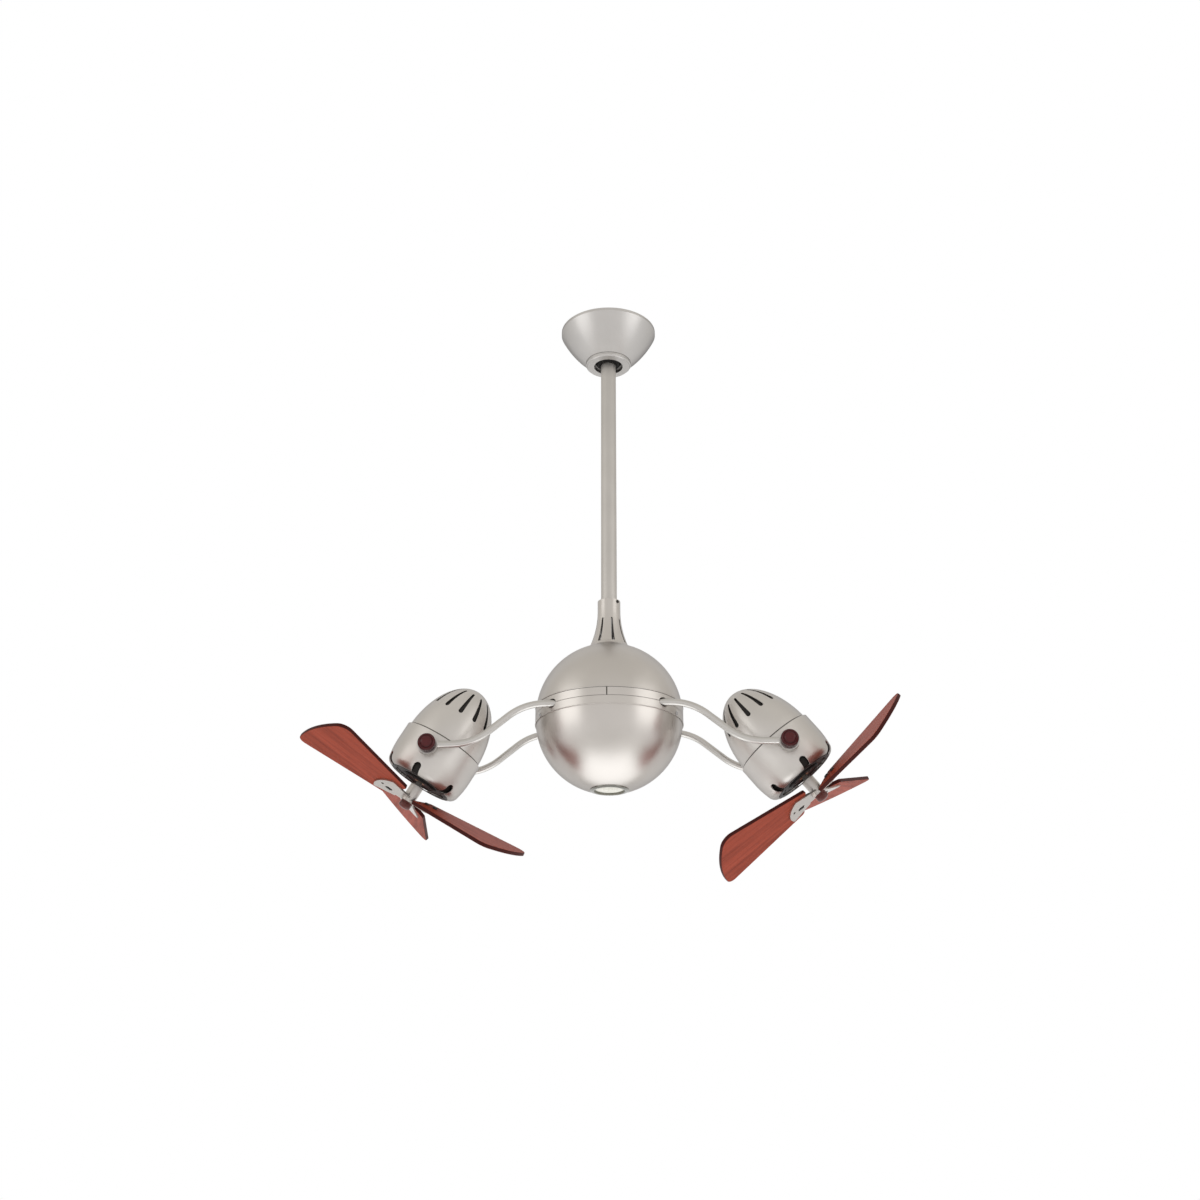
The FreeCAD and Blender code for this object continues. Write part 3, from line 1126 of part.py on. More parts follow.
def all_nodes():
    """Every node of the fan by name."""
    arm = right_front_arm()
    nodes = {
        "hanger_bracket": hanger_bracket(),
        "canopy": canopy(),
        "canopy_trim_ring": canopy_trim_ring(),
        "canopy_screws": canopy_screws(),
        "hanger_ball": hanger_ball(),
        "downrod": downrod(),
        "rod_pins": rod_pins(),
        "neck_cover": neck_cover(),
        "neck_set_screw": neck_set_screw(),
        "spindle": spindle(),
        "spindle_nut": spindle_nut(),
        "spindle_bearing_inner": spindle_bearing_inner(),
        "slip_rings": slip_rings(),
        "upper_shell": upper_shell(),
        "equator_belt": equator_belt(),
        "lower_shell": lower_shell(),
        "shell_screws": shell_screws(),
        "arm_carrier": arm_carrier(),
        "arm_clamp_screws": arm_clamp_screws(),
        "spindle_bearing_outer": spindle_bearing_outer(),
        "spindle_bearing_balls": spindle_bearing_balls(),
        "brush_block": brush_block(),
        "lamp_holder": lamp_holder(),
        "lamp": lamp(),
        "lamp_trim_ring": lamp_trim_ring(),
        "right_front_arm": arm,
        "right_rear_arm": moved(arm, 0, 2 * ARM_SPREAD, 0),
        "left_rear_arm": spun(arm, 180),
        "left_front_arm": moved(spun(arm, 180), 0, -2 * ARM_SPREAD, 0)}
    nodes.update(head_nodes("left", -1, LEFT_TILT, LEFT_BLADE_ANGLE, LEFT_SLOT_ANGLE))
    nodes.update(head_nodes("right", 1, RIGHT_TILT, RIGHT_BLADE_ANGLE, RIGHT_SLOT_ANGLE))
    return nodes


os.makedirs("parts", exist_ok=True)
for node_name, node_shape in all_nodes().items():
    node_shape.exportStep(os.path.join("parts", node_name + ".step"))
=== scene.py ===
"""Looks of a ceiling fan with two tilting heads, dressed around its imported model.

Lengths are metres in the model's own frame: the origin is the middle of the ceiling plane, +Z points up
and the heads stand along X. The sizes of new pieces are written in millimetres and brought to metres by MM.
"""

import json
import logging
import math
from dataclasses import dataclass
from enum import Enum
from typing import Callable, Optional, Sequence, Union

import bmesh
import bpy
from mathutils import Matrix, Vector

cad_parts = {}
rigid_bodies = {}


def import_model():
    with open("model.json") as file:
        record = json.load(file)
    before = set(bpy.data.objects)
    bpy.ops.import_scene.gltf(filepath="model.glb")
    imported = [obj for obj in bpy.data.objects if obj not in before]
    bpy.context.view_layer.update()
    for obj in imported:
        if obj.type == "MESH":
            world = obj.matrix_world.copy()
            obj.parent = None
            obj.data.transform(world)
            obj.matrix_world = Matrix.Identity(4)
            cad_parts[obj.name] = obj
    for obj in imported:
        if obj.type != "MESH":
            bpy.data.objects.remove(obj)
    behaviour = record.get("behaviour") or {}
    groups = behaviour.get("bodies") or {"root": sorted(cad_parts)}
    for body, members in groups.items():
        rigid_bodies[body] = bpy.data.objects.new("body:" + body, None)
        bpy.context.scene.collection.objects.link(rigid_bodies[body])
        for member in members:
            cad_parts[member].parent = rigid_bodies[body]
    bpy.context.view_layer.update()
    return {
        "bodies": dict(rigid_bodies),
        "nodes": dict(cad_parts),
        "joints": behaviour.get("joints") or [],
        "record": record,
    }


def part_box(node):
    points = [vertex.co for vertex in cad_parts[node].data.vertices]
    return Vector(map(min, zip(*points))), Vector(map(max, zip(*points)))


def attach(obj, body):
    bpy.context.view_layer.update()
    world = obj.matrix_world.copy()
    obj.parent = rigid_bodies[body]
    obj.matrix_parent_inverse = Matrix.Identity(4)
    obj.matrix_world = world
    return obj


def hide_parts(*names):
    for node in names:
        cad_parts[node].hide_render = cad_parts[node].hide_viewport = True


MM = 0.001
FULL_TURN = 2 * math.pi
SHARP_ANGLE = math.radians(34)
SAME_POINT = 0.001
HEAD_SEGMENTS = 28
CROSS_ARM_SHARE = 0.24
SMALL_CORNER = 0.2
MODEL_FRAME = Matrix.Identity(4)
UP = Vector((0, 0, 1))
KNOB_ENDS = ("front", "rear")
LOG = logging.getLogger("ceiling_fan")

Colour = tuple[float, float, float]
Profile = Sequence[tuple[float, float]]
Socket = bpy.types.NodeSocket
Feed = Union[Socket, float, Sequence[float]]


class Side(Enum):
    """The two heads, by the sign of their place on X."""

    LEFT = -1
    RIGHT = 1

    @property
    def word(self) -> str:
        """The word that starts the names of this side's nodes."""
        return self.name.lower()


class Graph:
    """A node tree being wired up."""

    def __init__(self, tree: bpy.types.NodeTree) -> None:
        """Takes the tree to add nodes to.

        Args:
            tree: a material's, a world's or a group's node tree.
        """
        self.tree = tree

    def add(self, kind: str, **settings: object) -> bpy.types.Node:
        """Adds one node.

        Args:
            kind: the node's type name without its ShaderNode prefix.
            settings: properties to set on the node.

        Returns:
            The new node.
        """
        prefix = "" if kind.startswith("Node") else "ShaderNode"
        node = self.tree.nodes.new(prefix + kind)
        for name, value in settings.items():
            setattr(node, name, value)
        return node

    def feed(self, socket: Socket, value: Feed) -> None:
        """Links a socket to another one, or sets its value.

        Args:
            socket: the input to feed.
            value: an output socket, a number or a list of numbers.
        """
        if isinstance(value, bpy.types.NodeSocket):
            self.tree.links.new(value, socket)
        else:
            socket.default_value = value

    def math(self, operation: str, *values: Feed, clamp: bool = False) -> Socket:
        """Adds a Math node.

        Args:
            operation: the node's operation.
            values: what feeds its inputs, in order.
            clamp: whether the result stays between 0 and 1.

        Returns:
            The result's socket.
        """
        node = self.add("Math", operation=operation, use_clamp=clamp)
        for socket, value in zip(node.inputs, values):
            self.feed(socket, value)
        return node.outputs[0]

    def vector(self, operation: str, *values: Feed, scale: Feed = 1.0) -> Socket:
        """Adds a Vector Math node.

        Args:
            operation: the node's operation.
            values: what feeds its inputs, in order.
            scale: the factor of a SCALE operation.

        Returns:
            The socket of the result, a number for a length or a dot product.
        """
        node = self.add("VectorMath", operation=operation)
        for socket, value in zip(node.inputs, values):
            self.feed(socket, value)
        if operation == "SCALE":
            self.feed(node.inputs["Scale"], scale)
        return node.outputs["Value" if operation in ("LENGTH", "DOT_PRODUCT") else "Vector"]

    def spread(self, value: Feed, low: float, high: float) -> Socket:
        """Maps a mask from 0 to 1 onto a range.

        Args:
            value: the mask.
            low: the result where the mask is 0.
            high: the result where the mask is 1.

        Returns:
            The mapped value's socket.
        """
        node = self.add("MapRange")
        self.feed(node.inputs["Value"], value)
        node.inputs["To Min"].default_value = low
        node.inputs["To Max"].default_value = high
        return node.outputs["Result"]

    def mix(self, share: Feed, first: Feed, second: Feed) -> Socket:
        """Mixes two colours.

        Args:
            share: how much of the second colour.
            first: the colour at 0.
            second: the colour at 1.

        Returns:
            The mixed colour's socket.
        """
        node = self.add("Mix", data_type="RGBA")
        self.feed(node.inputs["Factor"], share)
        colours = [socket for socket in node.inputs if socket.type == "RGBA"]
        for socket, value in zip(colours, (first, second)):
            self.feed(socket, value if isinstance(value, bpy.types.NodeSocket) else (*value, 1.0))
        return next(socket for socket in node.outputs if socket.type == "RGBA")

    def smooth(self, value: Feed, start: float, end: float) -> Socket:
        """A soft step of a value from 0 at one end of a range to 1 at the other.

        Args:
            value: what steps.
            start: where it is 0.
            end: where it is 1.

        Returns:
            The step's socket.
        """
        step = self.add("MapRange", interpolation_type="SMOOTHSTEP")
        self.feed(step.inputs["Value"], value)
        step.inputs["From Min"].default_value = start
        step.inputs["From Max"].default_value = end
        return step.outputs["Result"]

    def noise(self, position: Feed, detail: float, distortion: float = 0.0, scale: float = 1.0) -> Socket:
        """Adds a Noise texture.

        Args:
            position: the coordinates it reads.
            detail: its finer layers.
            distortion: how much it swirls.
            scale: its frequency.

        Returns:
            The noise value's socket.
        """
        node = self.add("TexNoise")
        self.feed(node.inputs["Vector"], position)
        node.inputs["Scale"].default_value = scale
        node.inputs["Detail"].default_value = detail
        node.inputs["Distortion"].default_value = distortion
        return node.outputs["Fac"]

    def ramp(self, value: Feed, stops: Sequence[tuple[float, Colour]]) -> Socket:
        """Adds a Color Ramp.

        Args:
            value: the mask that it reads.
            stops: places from 0 to 1 and their colours.

        Returns:
            The colour's socket.
        """
        node = self.add("ValToRGB")
        elements = node.color_ramp.elements
        while len(elements) < len(stops):
            elements.new(1.0)
        for element, (place, colour) in zip(elements, stops):
            element.position = place
            element.color = (*colour, 1.0)
        self.feed(node.inputs["Fac"], value)
        return node.outputs["Color"]

    def bump(self, height: Socket, strength: float, depth: float, **settings: bool) -> bpy.types.Node:
        """Adds a Bump node.

        Args:
            height: the relief that it shows.
            strength: how much of it shows.
            depth: the relief's depth.
            settings: properties to set on the node.

        Returns:
            The node, whose Normal input is still free.
        """
        node = self.add("Bump", **settings)
        node.inputs["Strength"].default_value = strength
        node.inputs["Distance"].default_value = depth
        self.feed(node.inputs["Height"], height)
        return node


class Effect:
    """Shader node groups that several finishes share, each built once."""

    made: dict[str, bpy.types.NodeTree] = {}
    ring_detail = 2.0
    blotch_detail = 4.0
    blotch_swirl = 0.4
    edge_samples = 4
    edge_gain = 6.0
    patch_scale = 160.0
    ribbon_stretch = (4.0, 46.0, 46.0)
    line_stretch = (16.0, 420.0, 420.0)
    line_share = 0.4
    pore_stretch = (85.0, 1500.0, 1500.0)
    pore_start = 0.62
    pore_gain = 9.0

    @classmethod
    def group(cls, name: str, inputs: dict[str, str], outputs: dict[str, str],
              wire: Callable[[Graph, bpy.types.Node, bpy.types.Node], None]) -> bpy.types.NodeTree:
        """Builds a group once and returns it.

        Args:
            name: the group's name.
            inputs: the names of its inputs, each with its socket type.
            outputs: the names of its outputs, each with its socket type.
            wire: a function that wires its inside, given a graph and the group's two ends.

        Returns:
            The group's tree.
        """
        if name not in cls.made:
            tree = bpy.data.node_groups.new(name, "ShaderNodeTree")
            for socket, kind in inputs.items():
                tree.interface.new_socket(socket, in_out="INPUT", socket_type="NodeSocket" + kind)
            for socket, kind in outputs.items():
                tree.interface.new_socket(socket, in_out="OUTPUT", socket_type="NodeSocket" + kind)
            graph = Graph(tree)
            wire(graph, graph.add("NodeGroupInput"), graph.add("NodeGroupOutput"))
            cls.made[name] = tree
        return cls.made[name]

    @staticmethod
    def place(graph: Graph, tree: bpy.types.NodeTree, **values: Feed) -> bpy.types.Node:
        """Puts a group into a material.

        Args:
            graph: the material's graph.
            tree: the group.
            values: what feeds its inputs, with underscores for spaces.

        Returns:
            The group's node.
        """
        node = graph.add("Group", node_tree=tree)
        for name, value in values.items():
            graph.feed(node.inputs[name.replace("_", " ")], value)
        return node

    @classmethod
    def turned_lines(cls) -> bpy.types.NodeTree:
        """Fine rings round the Z axis, as a lathe and a polishing pad leave them."""

        def wire(graph: Graph, start: bpy.types.Node, end: bpy.types.Node) -> None:
            """Winds noise round the axis.

            Args:
                graph: the group's graph.
                start: its input node.
                end: its output node.
            """
            parts = graph.add("SeparateXYZ")
            graph.feed(parts.inputs[0], start.outputs["Position"])
            flat = graph.add("CombineXYZ")
            graph.feed(flat.inputs["X"], parts.outputs["X"])
            graph.feed(flat.inputs["Y"], parts.outputs["Y"])
            radius = graph.vector("LENGTH", flat.outputs[0])
            angle = graph.math("ARCTAN2", parts.outputs["Y"], parts.outputs["X"])
            wound = graph.add("CombineXYZ")
            density = start.outputs["Density"]
            graph.feed(wound.inputs["X"], graph.math("MULTIPLY", radius, density))
            graph.feed(wound.inputs["Y"], graph.math("MULTIPLY", angle, start.outputs["Streaks"]))
            graph.feed(wound.inputs["Z"], graph.math("MULTIPLY", parts.outputs["Z"], density))
            graph.feed(end.inputs["Lines"], graph.noise(wound.outputs[0], cls.ring_detail))

        return cls.group("Turned lines", {"Position": "Vector", "Density": "Float", "Streaks": "Float"},
                         {"Lines": "Float"}, wire)

    @classmethod
    def handling(cls) -> bpy.types.NodeTree:
        """Soft blotches of polish over a handled surface."""

        def wire(graph: Graph, start: bpy.types.Node, end: bpy.types.Node) -> None:
            """Scales the noise of the blotches.

            Args:
                graph: the group's graph.
                start: its input node.
                end: its output node.
            """
            scaled = graph.vector("SCALE", start.outputs["Position"], scale=start.outputs["Scale"])
            graph.feed(end.inputs["Blotches"], graph.noise(scaled, cls.blotch_detail, cls.blotch_swirl))

        return cls.group("Handling", {"Position": "Vector", "Scale": "Float"},
                         {"Blotches": "Float"}, wire)

    @classmethod
    def worn_edges(cls) -> bpy.types.NodeTree:
        """A rounded normal at sharp edges and a mask of where they are rubbed."""

        def wire(graph: Graph, start: bpy.types.Node, end: bpy.types.Node) -> None:
            """Finds the edges and breaks them up.

            Args:
                graph: the group's graph.
                start: its input node.
                end: its output node.
            """
            bevel = graph.add("Bevel", samples=cls.edge_samples)
            graph.feed(bevel.inputs["Radius"], start.outputs["Radius"])
            geometry = graph.add("NewGeometry")
            same = graph.vector("DOT_PRODUCT", bevel.outputs[0], geometry.outputs["Normal"])
            edge = graph.math("MULTIPLY", graph.math("SUBTRACT", 1.0, same), cls.edge_gain, clamp=True)
            patchy = graph.noise(start.outputs["Position"], detail=3.0, scale=cls.patch_scale)
            graph.feed(end.inputs["Mask"], graph.math("MULTIPLY", edge, patchy, clamp=True))
            graph.feed(end.inputs["Normal"], bevel.outputs[0])

        return cls.group("Worn edges", {"Position": "Vector", "Radius": "Float"},
                         {"Mask": "Float", "Normal": "Vector"}, wire)

    @classmethod
    def wood_grain(cls) -> bpy.types.NodeTree:
        """Grain along the X axis: broad ribbon tone, fine lines and short dark pores."""

        def wire(graph: Graph, start: bpy.types.Node, end: bpy.types.Node) -> None:
            """Stretches three layers of noise along the grain.

            Args:
                graph: the group's graph.
                start: its input node.
                end: its output node.
            """
            ribbon, lines, pores = (
                graph.vector("MULTIPLY", start.outputs["Position"], stretch)
                for stretch in (cls.ribbon_stretch, cls.line_stretch, cls.pore_stretch))
            tone = graph.noise(ribbon, detail=5.0, distortion=1.2)
            fine = graph.noise(lines, detail=3.0, distortion=0.3)
            broad = graph.math("MULTIPLY", tone, 1.0 - cls.line_share)
            graph.feed(end.inputs["Tone"], graph.math("MULTIPLY_ADD", fine, cls.line_share, broad))
            open_pores = graph.math("SUBTRACT", graph.noise(pores, detail=1.0), cls.pore_start)
            graph.feed(end.inputs["Pores"], graph.math("MULTIPLY", open_pores, cls.pore_gain, clamp=True))

        return cls.group("Wood grain", {"Position": "Vector"}, {"Tone": "Float", "Pores": "Float"}, wire)


def toned(colour: Colour, factor: float, lift: float = 0.0) -> Colour:
    """A colour made lighter or darker.

    Args:
        colour: the colour.
        factor: what its channels are multiplied by.
        lift: what is then added to them.

    Returns:
        The new colour, with no channel above 1.
    """
    return tuple(min(1.0, channel * factor + lift) for channel in colour)


@dataclass(frozen=True)
class Finish:
    """A finish of the fan's surfaces, which makes its material at a place."""

    name: str
    colour: Colour
    roughness: float

    def material(self, place: Optional[Matrix] = None, tag: str = "") -> bpy.types.Material:
        """Makes the material, or returns it where it is made already.

        Args:
            place: the frame that its pattern follows, with the turning axis or the grain in it.
            tag: a word that tells this place from others.

        Returns:
            The material.
        """
        name = self.name + tag
        if name in bpy.data.materials:
            return bpy.data.materials[name]
        material = bpy.data.materials.new(name)
        material.use_nodes = True
        graph = Graph(material.node_tree)
        shader = material.node_tree.nodes["Principled BSDF"]
        shader.inputs["Base Color"].default_value = (*self.colour, 1.0)
        shader.inputs["Roughness"].default_value = self.roughness
        material.diffuse_color = (*self.colour, 1.0)
        coordinates = graph.add("TexCoord")
        mapping = graph.add("Mapping")
        place = place or MODEL_FRAME
        inside = place.inverted()
        mapping.inputs["Location"].default_value = inside.to_translation()
        mapping.inputs["Rotation"].default_value = inside.to_euler()
        graph.feed(mapping.inputs["Vector"], coordinates.outputs["Object"])
        self.dress(graph, shader, mapping.outputs["Vector"], place)
        return material

    def dress(self, graph: Graph, shader: bpy.types.Node, position: Socket, place: Matrix) -> None:
        """Wires what this finish adds to the plain shader.

        Args:
            graph: the material's graph.
            shader: its Principled shader.
            position: coordinates in the finish's own frame.
            place: that frame in the model.
        """
        raise NotImplementedError


@dataclass(frozen=True)
class TurnedMetal(Finish):
    """Metal finished round an axis: fine rings, blotches of polish and rubbed edges."""

    density: float = 1400.0
    streaks: float = 5.0
    anisotropy: float = 0.0
    relief: float = 0.05
    edge: float = 0.5 * MM
    limb: float = 1.0
    blotch_scale: float = 14.0
    smear: float = 0.06
    streak: float = 0.08
    line_depth: float = 0.1 * MM
    across_rings: float = 0.25

    def dress(self, graph: Graph, shader: bpy.types.Node, position: Socket, place: Matrix) -> None:
        """Wires rings, blotches and edges into colour, roughness and normal.

        Args:
            graph: the material's graph.
            shader: its Principled shader.
            position: coordinates in the finish's own frame.
            place: that frame in the model.
        """
        lines = Effect.place(graph, Effect.turned_lines(), Position=position, Density=self.density,
                             Streaks=self.streaks).outputs["Lines"]
        handling = Effect.place(graph, Effect.handling(), Position=position, Scale=self.blotch_scale)
        wear = Effect.place(graph, Effect.worn_edges(), Position=position, Radius=self.edge)
        blotches = handling.outputs["Blotches"]
        body = graph.mix(blotches, toned(self.colour, 0.9), toned(self.colour, 1.07))
        worn = graph.mix(wear.outputs["Mask"], body, toned(self.colour, 1.2))
        graph.feed(shader.inputs["Base Color"], worn)
        smear = graph.spread(blotches, self.roughness - self.smear, self.roughness + self.smear)
        mean = graph.math("SUBTRACT", smear, self.streak / 2)
        graph.feed(shader.inputs["Roughness"], graph.math("MULTIPLY_ADD", lines, self.streak, mean))
        shader.inputs["Metallic"].default_value = 1.0
        shader.inputs["Specular Tint"].default_value = (self.limb, self.limb, self.limb, 1.0)
        bump = graph.bump(lines, self.relief, self.line_depth)
        graph.feed(bump.inputs["Normal"], wear.outputs["Normal"])
        graph.feed(shader.inputs["Normal"], bump.outputs["Normal"])
        if self.anisotropy:
            shader.inputs["Anisotropic"].default_value = self.anisotropy
            self.turn_highlights(graph, shader, place)

    def turn_highlights(self, graph: Graph, shader: bpy.types.Node, place: Matrix) -> None:
        """Stretches the highlights across the rings.

        Args:
            graph: the material's graph.
            shader: its Principled shader.
            place: the frame whose Z axis the rings go round.
        """
        shader.inputs["Anisotropic Rotation"].default_value = self.across_rings
        point = graph.add("TexCoord").outputs["Object"]
        from_axis = graph.vector("SUBTRACT", point, tuple(place.to_translation()))
        round_axis = graph.vector("CROSS_PRODUCT", tuple(place.col[2].to_3d()), from_axis)
        turn = graph.add("VectorTransform", vector_type="VECTOR", convert_from="OBJECT",
                         convert_to="WORLD")
        graph.feed(turn.inputs[0], round_axis)
        graph.feed(shader.inputs["Tangent"], graph.vector("NORMALIZE", turn.outputs[0]))


@dataclass(frozen=True)
class Moulded(Finish):
    """Moulded or painted material with a fine skin texture."""

    grit: float = 1500.0
    relief: float = 0.08
    gloss: float = 0.4
    edge: float = 0.4 * MM
    blotch_scale: float = 60.0
    smear: float = 0.08
    skin_depth: float = 0.2 * MM

    def dress(self, graph: Graph, shader: bpy.types.Node, position: Socket, place: Matrix) -> None:
        """Wires the skin texture into colour, roughness and normal.

        Args:
            graph: the material's graph.
            shader: its Principled shader.
            position: coordinates in the finish's own frame.
            place: that frame in the model; not used here.
        """
        shader.inputs["Specular IOR Level"].default_value = self.gloss
        handling = Effect.place(graph, Effect.handling(), Position=position, Scale=self.blotch_scale)
        wear = Effect.place(graph, Effect.worn_edges(), Position=position, Radius=self.edge)
        blotches = handling.outputs["Blotches"]
        light = toned(self.colour, 1.3, 0.01)
        body = graph.mix(blotches, self.colour, light)
        graph.feed(shader.inputs["Base Color"], graph.mix(wear.outputs["Mask"], body, light))
        smear = graph.spread(blotches, self.roughness - self.smear, self.roughness + self.smear)
        graph.feed(shader.inputs["Roughness"], smear)
        skin = graph.noise(position, detail=2.0, scale=self.grit)
        bump = graph.bump(skin, self.relief, self.skin_depth)
        graph.feed(bump.inputs["Normal"], wear.outputs["Normal"])
        graph.feed(shader.inputs["Normal"], bump.outputs["Normal"])


@dataclass(frozen=True)
class Lacquered(Finish):
    """Lacquered wood, with its grain along the frame's X axis and darker edges."""

    dark: Colour = (0.1, 0.02, 0.02)
    edge_share: float = 1.0
    gloss: float = 0.25
    tone_stops: tuple[float, float, float] = (0.3, 0.5, 0.7)
    pore_share: float = 0.5
    edge_gain: float = 2.5
    duller: float = 0.1
    glossier: float = 0.05
    relief: float = 0.12
    pore_depth: float = 0.15 * MM

    def dress(self, graph: Graph, shader: bpy.types.Node, position: Socket, place: Matrix) -> None:
        """Wires grain, pores and darkened edges.

        Args:
            graph: the material's graph.
            shader: its Principled shader.
            position: coordinates in the finish's own frame.
            place: that frame in the model.
        """
        grain = Effect.place(graph, Effect.wood_grain(), Position=position)
        middle = tuple((light + dark) / 2 for light, dark in zip(self.colour, self.dark))
        tones = (middle, self.colour, toned(self.colour, 1.25))
        tone, pores = grain.outputs["Tone"], grain.outputs["Pores"]
        body = graph.ramp(tone, list(zip(self.tone_stops, tones)))
        wood = graph.mix(graph.math("MULTIPLY", pores, self.pore_share), body, self.dark)
        normal = graph.add("TexCoord").outputs["Normal"]
        facing = graph.vector("DOT_PRODUCT", normal, tuple(place.col[2].to_3d()))
        side = graph.math("SUBTRACT", 1.0, graph.math("ABSOLUTE", facing))
        rim = graph.math("MULTIPLY", side, self.edge_gain, clamp=True)
        rim = graph.math("MULTIPLY", rim, self.edge_share)
        graph.feed(shader.inputs["Base Color"], graph.mix(rim, wood, self.dark))
        sheen = graph.spread(tone, self.roughness + self.duller, self.roughness - self.glossier)
        graph.feed(shader.inputs["Roughness"], sheen)
        shader.inputs["Specular IOR Level"].default_value = self.gloss
        bump = graph.bump(pores, self.relief, self.pore_depth, invert=True)
        graph.feed(shader.inputs["Normal"], bump.outputs["Normal"])


@dataclass(frozen=True)
class LampLens(Finish):
    """Frosted lens of a reflector lamp with a faint warm glow."""

    glow: float = 0.5
    cell_scale: float = 320.0
    relief: float = 0.4
    cell_depth: float = 0.5 * MM

    def dress(self, graph: Graph, shader: bpy.types.Node, position: Socket, place: Matrix) -> None:
        """Wires the pressed pattern and the glow.

        Args:
            graph: the material's graph.
            shader: its Principled shader.
            position: coordinates in the finish's own frame.
            place: that frame in the model; not used here.
        """
        cells = graph.add("TexVoronoi")
        graph.feed(cells.inputs["Vector"], position)
        cells.inputs["Scale"].default_value = self.cell_scale
        tint = graph.mix(cells.outputs["Distance"], self.colour, toned(self.colour, 0.82))
        graph.feed(shader.inputs["Base Color"], tint)
        graph.feed(shader.inputs["Emission Color"], tint)
        shader.inputs["Emission Strength"].default_value = self.glow
        bump = graph.bump(cells.outputs["Distance"], self.relief, self.cell_depth)
        graph.feed(shader.inputs["Normal"], bump.outputs["Normal"])


class Finishes:
    """Every finish of the fan."""

    nickel = TurnedMetal("Satin nickel", (0.70, 0.665, 0.632), 0.36, anisotropy=0.55, limb=0.45)
    canopy_nickel = TurnedMetal("Canopy nickel", (0.67, 0.652, 0.635), 0.42, anisotropy=0.5, limb=0.1)
    # Painted light: a lighter copy of the satin nickel for the heads, which look lighter than the ball.
    case_nickel = TurnedMetal("Head nickel", (0.725, 0.695, 0.665), 0.42, anisotropy=0.5, limb=0.4)
    tube = TurnedMetal("Satin tube", (0.64, 0.615, 0.585), 0.5, density=900.0, streaks=1.0, limb=0.6)
    arm_tube = TurnedMetal("Arm tube", (0.67, 0.65, 0.625), 0.34, density=900.0, streaks=1.0, limb=0.6)
    bezel = TurnedMetal("Dark bezel", (0.27, 0.265, 0.24), 0.16, density=900.0, relief=0.02)
    iron = TurnedMetal("Blade iron nickel", (0.61, 0.575, 0.545), 0.32, density=700.0)
    steel = TurnedMetal("Zinc steel", (0.56, 0.56, 0.56), 0.38)
    cast = TurnedMetal("Bare casting", (0.5, 0.5, 0.49), 0.55, relief=0.2)
    bronze = TurnedMetal("Bush bronze", (0.62, 0.4, 0.2), 0.4)
    brass = TurnedMetal("Contact brass", (0.75, 0.55, 0.24), 0.28)
    black_steel = TurnedMetal("Blackened steel", (0.05, 0.046, 0.044), 0.4)
    laminations = TurnedMetal("Laminated iron", (0.2, 0.19, 0.18), 0.5, density=900.0, relief=0.3)
    nylon = Moulded("Black nylon", (0.008, 0.007, 0.007), 0.5, gloss=0.2)
    enamel = Moulded("Dark enamel", (0.012, 0.0105, 0.0095), 0.5, gloss=0.25)
    # Painted shade: a dark colour laid into seams and gaps where only their shadow is dark.
    painted_shade_line = Moulded("Seam gasket", (0.10, 0.092, 0.084), 0.7, gloss=0.2)
    socket = Moulded("White socket", (0.78, 0.76, 0.7), 0.4)
    mahogany = Lacquered("Mahogany", (0.33, 0.061, 0.034), 0.46, dark=(0.06, 0.014, 0.012), gloss=0.05)
    knob_wood = Lacquered("Knob wood", (0.092, 0.019, 0.021), 0.14, dark=(0.02, 0.006, 0.007),
                          edge_share=0.5, gloss=0.2)
    cap_wood = Lacquered("Cap wood", (0.125, 0.03, 0.024), 0.3, dark=(0.04, 0.011, 0.01),
                         edge_share=0.2, gloss=0.35)
    lens = LampLens("Lamp lens", (0.80, 0.79, 0.72), 0.25, glow=0.15)


class Drive(Enum):
    """The recess in a fastener's head, by its number of points."""

    CROSS = 12
    HEX = 6

    def outline(self, reach: float) -> list[tuple[float, float]]:
        """The recess's corners in order.

        Args:
            reach: how far it reaches from the middle.

        Returns:
            Points on the head's top.
        """
        if self is Drive.HEX:
            turns = [FULL_TURN * index / self.value for index in range(self.value)]
            return [(reach * math.cos(turn), reach * math.sin(turn)) for turn in turns]
        half = reach * CROSS_ARM_SHARE
        arm = [(reach, -half), (reach, half), (half, half)]
        return [(x * math.cos(turn) - y * math.sin(turn), x * math.sin(turn) + y * math.cos(turn))
                for turn in (0, math.pi / 2, math.pi, 1.5 * math.pi) for x, y in arm]


